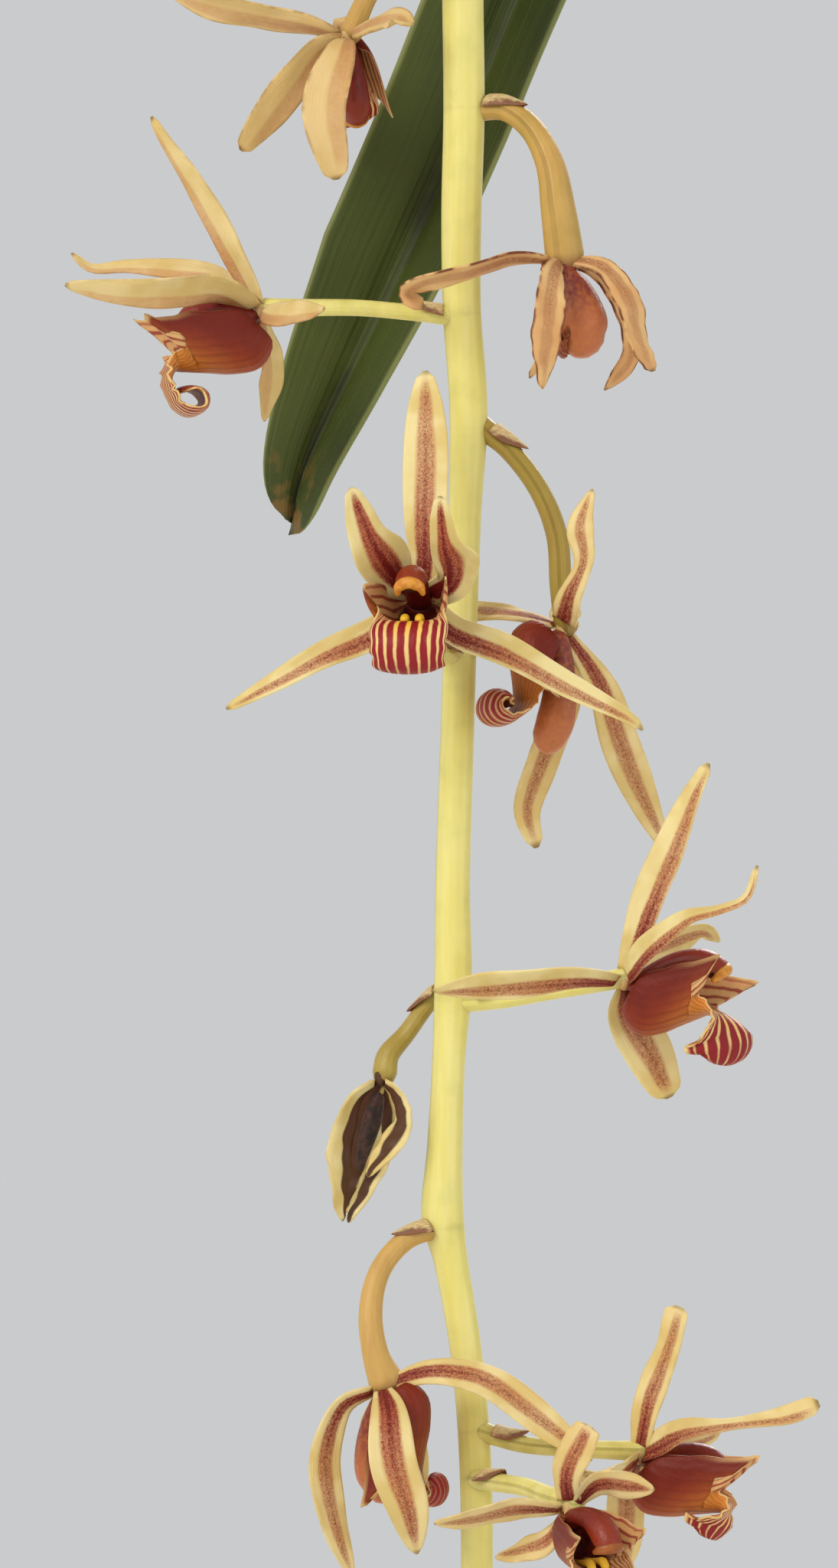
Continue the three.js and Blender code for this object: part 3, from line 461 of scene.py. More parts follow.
# %% Petal finish
CREAM = colour(226, 208, 148)
YELLOW = colour(209, 184, 114)
MAROON = colour(112, 20, 18)
ROSE = colour(186, 88, 58)
TAN = colour(204, 150, 94)
SAND = colour(222, 182, 124)
BROWN = colour(112, 62, 38)
DRY_BROWN = colour(64, 26, 14)
BAND_HALF_WIDTH = 0.56
DOT_SIZE, DOT_CONTRAST = 0.17, 1.8
TIP_START = 0.965


def petal_finish():
    skin = Surface("petal_skin", Roughness=0.55, Specular_IOR_Level=0.25, Subsurface_Weight=0.12,
                   Subsurface_Scale=0.0008, Subsurface_Radius=(1.0, 0.7, 0.4))
    across, along, side, shift = skin.marks("across along side shift")
    age, depth, dry = skin.marks("age stripe dry")
    off = abs(across - shift + (skin.noise(3.0) - 0.5) * 0.14)
    width = BAND_HALF_WIDTH - along * 0.2 + dry * 0.1
    inside = (width - off).rise(-0.12, 0.14)
    midrib = off.rise(0.24, 0.0)
    second_line = abs(off - width * 0.7).rise(0.12, 0.0)
    ends = along.rise(1.0, 0.86) * (along.rise(0.75, 0.0) * 0.4 + 0.6) * depth
    grain = skin.noise(DOT_SIZE, 1.0) - 0.5
    density = inside * (midrib * 0.4 + second_line * 0.12 + along.rise(0.5, 0.0) * 0.4 + 0.26) * ends
    density = density * (side * 0.85 + 0.15) * (age * -0.7 + 1)
    dots = (density + grain * DOT_CONTRAST * density.rise(0.0, 0.3)).clear()
    flush = inside * ends * (skin.noise(0.5, 2.0) * 0.8 + 0.45) * (side * 0.35 + 0.65)
    flush = (flush * (age * -0.5 + 1) + dry * inside).clear()
    pale = skin.blend(skin.noise(4.0).rise(0.35, 0.65), CREAM, YELLOW)
    pale = skin.blend(along.rise(0.12, 0.0) * 0.5, pale, YELLOW)
    aged = skin.blend(skin.noise(4.0).rise(0.3, 0.75), TAN, SAND)
    pale = skin.blend(age * (dry * -1 + 1), pale, aged)
    band = skin.blend(dry, skin.blend(age * 0.5, ROSE, BROWN), DRY_BROWN)
    painted = skin.blend((flush * 0.85 + dry * inside * 0.1).clear(), pale, band)
    painted = skin.blend(dots, painted, skin.blend(age * 0.6, MAROON, BROWN))
    worn = skin.noise(1.6).rise(0.35, 0.6)
    rim = (abs(across).rise(0.82, 1.0) * age * 1.2 * worn * (dry * -0.8 + 1)).clear()
    tip = along.rise(TIP_START, 1.0) * (worn * 0.6 + 0.05)
    painted = skin.blend(rim.larger(tip), painted, BROWN)
    skin.paint(painted)
    veins = skin.noise(0.5, 2.0, where=skin.flow(across * 7, along * 3)) * along.rise(0.8, 0.4)
    skin.relief(veins * 0.7 + skin.noise(0.5, 2.0) * 0.3, 0.09)
    return skin.material


PETAL = petal_finish()
print("petal finish has", len(PETAL.node_tree.nodes), "nodes")

# %% [markdown]
# ## The skin of the lip
# The lip is a hood: dark maroon where it holds the column and orange in front. Deep inside it, near the
# keel and the foot, painted shade darkens the maroon to near-black. Its tongue has crimson stripes on
# cream, with a yellow gap down the middle. Stripes and veins both run along the lip, so each is the cosine
# of the place across it, made uneven by noise.

# %% Lip finish
WINE = colour(108, 28, 14)
CRIMSON = colour(140, 24, 30)
RUST = colour(142, 50, 18)
ORANGE = colour(204, 126, 46)
IVORY = colour(224, 190, 124)
BUTTER = colour(240, 186, 52)
# The next colour is near-black painted shade, for the deep inside of the lip's pouch and the stigma's
# hollow.
HOLLOW_SHADE = colour(46, 6, 8)
LIP_STRIPES = 10
LIP_VEINS = 52.0
TONGUE_STARTS = (0.43, 0.5)


def lip_finish():
    skin = Surface("lip_skin", Roughness=0.5, Specular_IOR_Level=0.25, Subsurface_Weight=0.15,
                   Subsurface_Scale=0.001, Subsurface_Radius=(1.0, 0.4, 0.2))
    across, along, side, plain, callus, wilt = skin.marks("across along side plain callus age")
    off = abs(across)
    cloud = skin.noise(1.6, 3.0) - 0.5
    wobble = (skin.noise(2.2) - 0.5) * 0.07
    tongue = along.rise(*TONGUE_STARTS)
    stripes = ((across + wobble) * (LIP_STRIPES * np.pi)).cos() * -1
    stripes = (stripes + cloud * 0.8 + along.rise(0.6, 0.9) * 0.5).rise(-0.7, 0.0) * off.rise(0.97, 0.86)
    stripes = stripes.larger(plain)
    middle = off.rise(0.5, 0.12) * along.rise(0.75, 0.52)
    ground = skin.blend(middle, IVORY, BUTTER)
    tongue_face = skin.blend(stripes, ground, CRIMSON)
    veins = ((across + wobble) * LIP_VEINS).cos()
    lobe_face = skin.blend((veins + cloud).rise(-0.1, 0.9) * 0.85, skin.blend(0.35, IVORY, ROSE), CRIMSON)
    # Painted shade: deep in the hood, near the keel and the foot, the maroon is blended towards near-black.
    shaded_throat = skin.blend(cloud.rise(-0.2, 0.2), HOLLOW_SHADE, WINE)
    hood_face = skin.blend((off * 1.2 + along * 1.5 + cloud * 0.2).rise(1.05, 0.8), lobe_face, shaded_throat)
    face = skin.blend(tongue, hood_face, tongue_face)
    hood_back = skin.blend((along + cloud * 0.12 - off * 0.1).rise(0.08, 0.36), RUST, ORANGE)
    dark = (off * 1.1 - along * 2.8 + cloud * 0.4).rise(-0.25, 0.5).larger(plain * 0.8)
    hood_back = skin.blend(dark, hood_back, WINE)
    hood_back = skin.blend(veins.rise(0.0, 1.0) * (cloud + 0.6) * 0.5, hood_back, WINE)
    tongue_back = skin.blend(stripes * 0.8, skin.blend(0.5, IVORY, ORANGE), CRIMSON)
    back = skin.blend(tongue, hood_back, tongue_back)
    painted = skin.blend(side, back, face)
    margin = off.rise(0.93, 0.99) * along.rise(0.16, 0.3)
    painted = skin.blend(margin * 0.9, painted, IVORY)
    painted = skin.blend(callus, painted, BUTTER)
    painted = skin.blend(wilt * 0.85, painted, skin.blend(skin.noise(2.0), BROWN, RUST))
    skin.paint(painted)
    skin.relief(veins * 0.12 + skin.noise(0.5, 3.0) * 0.8, 0.1)
    return skin.material


LIP = lip_finish()
print("lip finish has", len(LIP.node_tree.nodes), "nodes")

# %% [markdown]
# ## The skin of the column
# The column is speckled maroon and paler towards its end, where the anther is orange. On a pollinated
# flower it ripens to a dull red, so two sets of colours are blended by the flower's age.

# %% Column finish
def column_finish():
    skin = Surface("column_skin", Roughness=0.4, Specular_IOR_Level=0.35, Subsurface_Weight=0.15,
                   Subsurface_Scale=0.001)
    along, anther, age, hollow = skin.marks("along anther age hollow")
    speckle = skin.noise(0.5, 2.0).rise(0.35, 0.7)
    body = skin.blend(speckle * 0.4, WINE, CRIMSON)
    body = skin.blend(along.rise(0.55, 0.95) * 0.7, body, RUST)
    ripe = skin.blend(along.rise(0.25, 1.0), colour(118, 42, 36), colour(180, 102, 60))
    body = skin.blend(age, body, skin.blend(speckle * 0.3, ripe, ORANGE))
    # Painted shade: the marked hollow of the stigma is painted near-black.
    body = skin.blend(hollow, body, HOLLOW_SHADE)
    skin.paint(skin.blend(anther, body, skin.blend(speckle * 0.35, ORANGE, BUTTER)))
    skin.relief(skin.noise(0.8, 3.0), 0.12)
    return skin.material


COLUMN_SKIN = column_finish()
print("column finish has", len(COLUMN_SKIN.node_tree.nodes), "nodes")

# %% [markdown]
# ## One sepal or petal
# A sepal is a long narrow sheet, widest past its middle. It is thickest along the midrib and thin at its
# edges, which lift a little and wave. It could be modelled by hand, but there are 79 of them. So one
# function makes them all from a line down the middle: `toward` says where the face looks, and `turn`
# twists it about its own length, in degrees at the foot and at the tip.

# %% Sepals and petals
VIEWER = (0.0, -1.0, 0.0)
TEPAL_ROWS, TEPAL_COLUMNS = 30, 13
WIDEST = 0.55
TAPER = 2.4
WAVES, FINE_WAVES = 7, 17
RIB_HEIGHT, RIB_WIDTH = 0.25, 0.16


def blade_grid(line, width, turn=(0, 0), toward=VIEWER, cup=0.15, wave=0.25, tip=0.16, base=0.36,
               rows=TEPAL_ROWS, columns=TEPAL_COLUMNS, phase=0.0, left=None, right=None):
    """The middle surface of a blade, with the places across and along of its points. Where `left` and
    `right` are given, they are its half widths at even steps from foot to tip."""
    centre, along, _ = spline(line, rows)
    t = np.linspace(0, 1, rows)
    v = np.sin(np.linspace(-1, 1, columns) * np.pi / 2)
    flat = unit(np.cross(along, toward))
    face = np.cross(flat, along)
    angle = np.radians(mix(turn[0], turn[1], t))[:, None]
    over = flat * np.cos(angle) + face * np.sin(angle)
    up = face * np.cos(angle) - flat * np.sin(angle)
    widening = mix(base, 1, np.sin(np.pi / 2 * t / WIDEST))
    narrowing = mix(1, tip, np.clip((t - WIDEST) / (1 - WIDEST), 0, 1) ** TAPER)
    swell = np.where(t < WIDEST, widening, narrowing)
    tip_start = 1 - min(0.5 * width * max(tip, 0.3) / 18, 0.12)
    round_end = np.sqrt(1 - np.clip((t - tip_start) / (1.002 - tip_start), 0, 1) ** 2)
    half = np.repeat((width / 2 * swell * round_end)[:, None], columns, axis=1)
    if left is not None:
        halves = [smooth(values, t * (len(values) - 1))[:, None] for values in (left, right or left)]
        half = np.where(v < 0, *halves) * round_end[:, None]
        swell = np.clip(half.max(axis=1) / half.max(), 0.05, 1)
    ripple = np.sin(WAVES * t[:, None] + v + phase)
    ripple = ripple + 0.4 * np.sin(FINE_WAVES * t[:, None] + 3 * v + 2 * phase)
    lift = cup * half * v**2 + wave * swell[:, None] * np.abs(v) ** 1.5 * ripple
    grid = centre[:, None] + over[:, None] * (v * half)[..., None] + up[:, None] * lift[..., None]
    return grid, v, t[:, None]


PETAL_FOLDS = [1.9, 0.7, 1.3], [-1.1, 2.3, 2.9], [0.5, 0.8, 0.3]


def folds_at(points, first_waves, second_waves, push, strength):
    """How far a dry, crumpled surface moves at each of its points."""
    folds = np.sin(points @ first_waves) + np.sin(points @ second_waves + 2)
    return np.array(push) * (strength * folds)[..., None]


def add_blade(shape, inward, thickness=0.7, stripe=1.15, shift=0.0, age=0.0, dry=0.0, crumple=0.0, **form):
    """Adds a blade to a shape. Its face is the side that looks at the point `inward`."""
    grid, across, along = blade_grid(**form)
    if crumple:
        grid = grid + folds_at(grid, *PETAL_FOLDS, crumple * along**0.7)
    rib = RIB_HEIGHT * np.exp(-((across / RIB_WIDTH) ** 2)) * (1 - along)
    depth = thickness * (np.sqrt(1 - 0.96 * across**2) * mix(1.0, 0.6, along) + rib)
    add_sheet(shape, grid, depth, across, along, inward, stripe=stripe, shift=shift, age=age, dry=dry)


test = Shape()
add_blade(test, (0, -10, 0), line=[(0, 0, 0), (0, 0, 20)], width=5)
print("a sepal has", len(test.faces), "faces and is", round(float(np.ptp(test.points[:, 0])), 2), "mm wide")

# %% [markdown]
# ## The lip
# The lip is one sheet with a keel down its middle and a margin on each side. From its foot it sinks to a
# pouch, its sides rise round the column and end in two pointed lobes, and past the notch the tongue bends
# down and rolls back. Sculpting could give this form once, but every flower's tongue rolls in its own
# way. So each row of the sheet runs from the keel to the margin in a quarter turn, and a list of keel
# points and a list of margin points give the whole lip. They are in the flower's own frame: x out of the
# flower, y to its left, z up.

# %% Lip
KEEL = [(1.3, -0.9), (0.0, -3.0), (1.2, -4.9), (3.3, -4.9),
        (5.1, -4.3), (6.3, -3.9), (7.2, -3.6), (8.0, -3.4)]
MARGIN = [(1.5, 1.2, -0.1), (2.1, 2.3, 0.6), (3.7, 2.9, 1.0), (6.4, 3.3, 1.5),
          (9.8, 3.8, 2.1), (7.0, 3.5, -0.5), (7.7, 3.3, -1.7), (8.5, 3.6, -2.7)]
TIP_SHARES = [0, 0, 0.05, 0.3, 1, 0.35, 0.1, 0]
TONGUE_HALF_WIDTHS = [4.0, 4.1, 4.1, 4.0, 3.9, 3.6, 3.0, 1.6]
TONGUE_LENGTH = 12.0
TONGUE_EDGE_BACK = [0.3, 0.9, 1.5, 1.9, 2.0, 1.8, 1.3, 0.5]
CALLUS_RADII = [0.3, 0.34, 0.42, 0.5, 0.44]
LIP_ROWS_PER_STATION = 4
LIP_COLUMNS = 27
LIP_THICKNESS = 0.75
EDGE_WAVE_UP, EDGE_WAVE_OUT = 0.28, 0.22


def lip_lines(bends, tongue, roll, spread):
    """The keel and the margin with the tongue's stations added. The tongue's heading runs through `bends`,
    in degrees below level. `tongue` is its size, `roll` is how far its edges turn back, and `spread` is how
    high the sides of the hood stand."""
    keel = [np.array([x, 0.0, z]) for x, z in KEEL]
    margin = [np.array((x, y, mix(bottom, z, spread))) for (x, y, z), (_, bottom) in zip(MARGIN, KEEL)]
    step = TONGUE_LENGTH * tongue / len(TONGUE_HALF_WIDTHS)
    place = keel[-1]
    for k, half in enumerate(TONGUE_HALF_WIDTHS):
        share = (k + 0.5) / len(TONGUE_HALF_WIDTHS)
        heading = np.radians(np.interp(share, np.linspace(0, 1, len(bends)), bends))
        place = place + step * np.array([np.cos(heading), 0, -np.sin(heading)])
        outer = np.array([np.sin(heading), 0, np.cos(heading)])
        keel.append(place)
        half = half * mix(1, tongue**0.5, min(1, (k + 1) / 3))
        margin.append(place - outer * TONGUE_EDGE_BACK[k] * roll + [0, half, 0])
    return keel, margin


def add_lip(shape, bends, tongue=1.0, roll=1.0, spread=1.0, swing=0.0, near_tip=(0, 0, 0),
            far_tip=(0, 0, 0), ragged=0.12, wilt=0.0, plain=0.0):
    """Adds a lip. `swing` turns its tongue towards the viewer, `near_tip` and `far_tip` move the points of
    its side lobes, and `plain` takes the cream out of its stripes."""
    keel, margin = lip_lines(bends, tongue, roll, spread)
    shares = np.pad(TIP_SHARES, (0, len(margin) - len(TIP_SHARES)))
    stations = len(keel) - 1
    where = np.linspace(0, stations, stations * LIP_ROWS_PER_STATION + 1)
    v = np.sin(np.linspace(-1, 1, LIP_COLUMNS) * np.pi / 2)[None, :, None]
    keel = smooth(keel, where)[:, None]
    moved_tips = [margin + np.outer(shares, tip) for tip in (near_tip, far_tip)]
    near, far = (smooth(line, where)[:, None] for line in moved_tips)
    margin = np.where(v > 0, far, near)
    quarter = np.pi / 2 * v
    grid = keel + (margin - keel) * (1 - np.cos(quarter))
    grid[..., 1] = margin[..., 1] * np.sin(quarter)[..., 0]
    on_tongue = np.clip((where - len(KEEL)) / 3, 0, 1)[:, None]
    grid[..., 0] += swing * grid[..., 1] * on_tongue
    edge = np.abs(v[..., 0]) ** 3
    waves = np.sin(where[:, None] * 2.4 + np.sign(v[..., 0]))
    grid[..., 2] += EDGE_WAVE_UP * edge * waves * on_tongue
    sideways = np.sign(v[..., 0]) * np.sin(where[:, None] * 3.7)
    grid[..., 1] += EDGE_WAVE_OUT * edge * sideways * on_tongue
    in_front = np.clip(where - 2, 0, 1)[:, None] * (1 - on_tongue)
    grid[..., 0] += ragged * edge * in_front * np.sin(where[:, None] * 7.3 + v[..., 0])
    grid[..., 2] += ragged * edge * in_front * np.sin(where[:, None] * 5.1)
    across, along = v[..., 0], where[:, None] / stations
    thickness = LIP_THICKNESS * np.sqrt(1 - 0.95 * across**2) * mix(1.0, 0.6, along)
    add_sheet(shape, grid, thickness, across, along, age=wilt, plain=plain)


def add_calli(shape, age):
    """The two ridges that run along the inside of the lip and end in yellow knobs."""
    for y in (-0.8, 0.8):
        line = [(3.0, y, -4.6), (4.6, y, -3.9), (6.0, y, -3.2)]
        line += [(7.0, y * 0.95, -2.7), (7.6, y * 0.95, -2.9)]
        points, faces, along = tube(line, CALLUS_RADII, sides=10)
        shape.add(points, faces, along=along, callus=along**0.5, side=1.0, age=age)


trial = Shape()
add_lip(trial, [20, 90, 200])
print("the lip is", np.round(np.ptp(trial.points, axis=0), 1).tolist(), "mm")

# %% [markdown]
# ## The column
# The column arches over the lip's pouch like a thumb, round above and flat below. At its end sits the
# anther cap, whose orange rim shows from the front over the hollow of the stigma. On a fresh flower the
# shade in that hollow is painted on in near-black. A flower that has been pollinated keeps a swollen column
# while its petals wilt. A tube along a curve is the quickest way to a thumb, and its lower half is then
# pressed flat.

# %% Column
COLUMN = [(1.4, 0, -0.6), (3.4, 0, 0.5), (5.8, 0, 1.25), (7.8, 0, 1.1), (8.9, 0, 0.5)]
COLUMN_RADII = [1.2, 1.3, 1.45, 1.6, 1.5]
SWELLING = np.array([0.3, 0.8, 1, 1, 0.9])
ANTHER_RIM = [(8.8, -1.3, -0.3), (9.5, -1.05, 0.3), (9.85, 0, 0.65), (9.5, 1.05, 0.3), (8.8, 1.3, -0.3)]
ANTHER_RADII = [0.3, 0.55, 0.7, 0.55, 0.3]
FLAT_BELOW, SWOLLEN_BELOW = 0.55, 0.9


def add_column(shape, swollen, arch, age, cap):
    """Adds a column. `arch` is how high it rises, and `cap` is how clearly its anther shows."""
    line = np.array(COLUMN) * (1, 1, arch)
    radii = np.array(COLUMN_RADII) * mix(1, swollen, SWELLING)
    points, faces, along = tube(line, radii, sides=24, rows=24)
    middle = np.interp(points[:, 0], line[:, 0], line[:, 2])
    below = points[:, 2] < middle
    flat = FLAT_BELOW if swollen == 1 else SWOLLEN_BELOW
    points[below, 2] = mix(middle, points[:, 2], flat)[below]
    # Painted shade: on a fresh flower the lower side of the column's end, where the stigma's hollow lies,
    # is marked to be painted near-black.
    hollow = (along > 0.99) & (points[:, 2] < line[-1, 2] * flat + 0.2) & (swollen == 1)
    shape.add(points, faces, along=along, age=age, hollow=hollow.astype(float))
    rim_line = np.array(ANTHER_RIM) * (1, 1, 0.5 + arch / 2)
    rim, rim_faces, _ = tube(rim_line, ANTHER_RADII, sides=12)
    shape.add(rim, rim_faces, along=0.5, anther=cap, age=age)


column_trial = Shape()
add_column(column_trial, 1.0, 1.0, 0, 1.0)
print("the column is", np.round(np.ptp(column_trial.points, axis=0), 1).tolist(), "mm")

# %% [markdown]
# ## Where the flowers are
# Each flower has its hub, where its stalk ends, the way it looks, and the lines of its sepals and petals.
# All are in mm from the middle of the spike: x right, y away from the viewer, z up. Copies of one flower
# would look stiff, so the ones near the middle of the spike are posed one by one. Some are fresh, some
# hang down and fade, and one has withered to a dry spindle.

# %% Flowers
OPEN_TEPALS = [
    {"width": 4.8, "line": [(1.5, 0, 7), (4.4, 0, 13.5), (7.6, 0, 20.5)], "toward": (1, 0, -0.3)},
    {"width": 4.4, "line": [(3.2, 2.6, 4.2), (7.4, 4.6, 7.0), (12.4, 6.0, 11)], "toward": (0.2, -1, 0.4)},
    {"width": 4.4, "line": [(3.2, -2.6, 4.2), (7.4, -4.6, 7.0), (12.4, -6.0, 11)], "toward": (0.2, 1, 0.4)},
    {"width": 4.6, "line": [(0.2, 6, -3.6), (1.0, 12, -7.2), (0.2, 18.6, -11)], "toward": (1, 0, 0.2)},
    {"width": 4.6, "line": [(0.2, -6, -3.6), (1.0, -12, -7.2), (0.2, -18.6, -11)], "toward": (1, 0, 0.2)},
]


def tepal(width, turn, *line, **rest):
    return {"width": width, "turn": turn, "line": list(line), **rest}


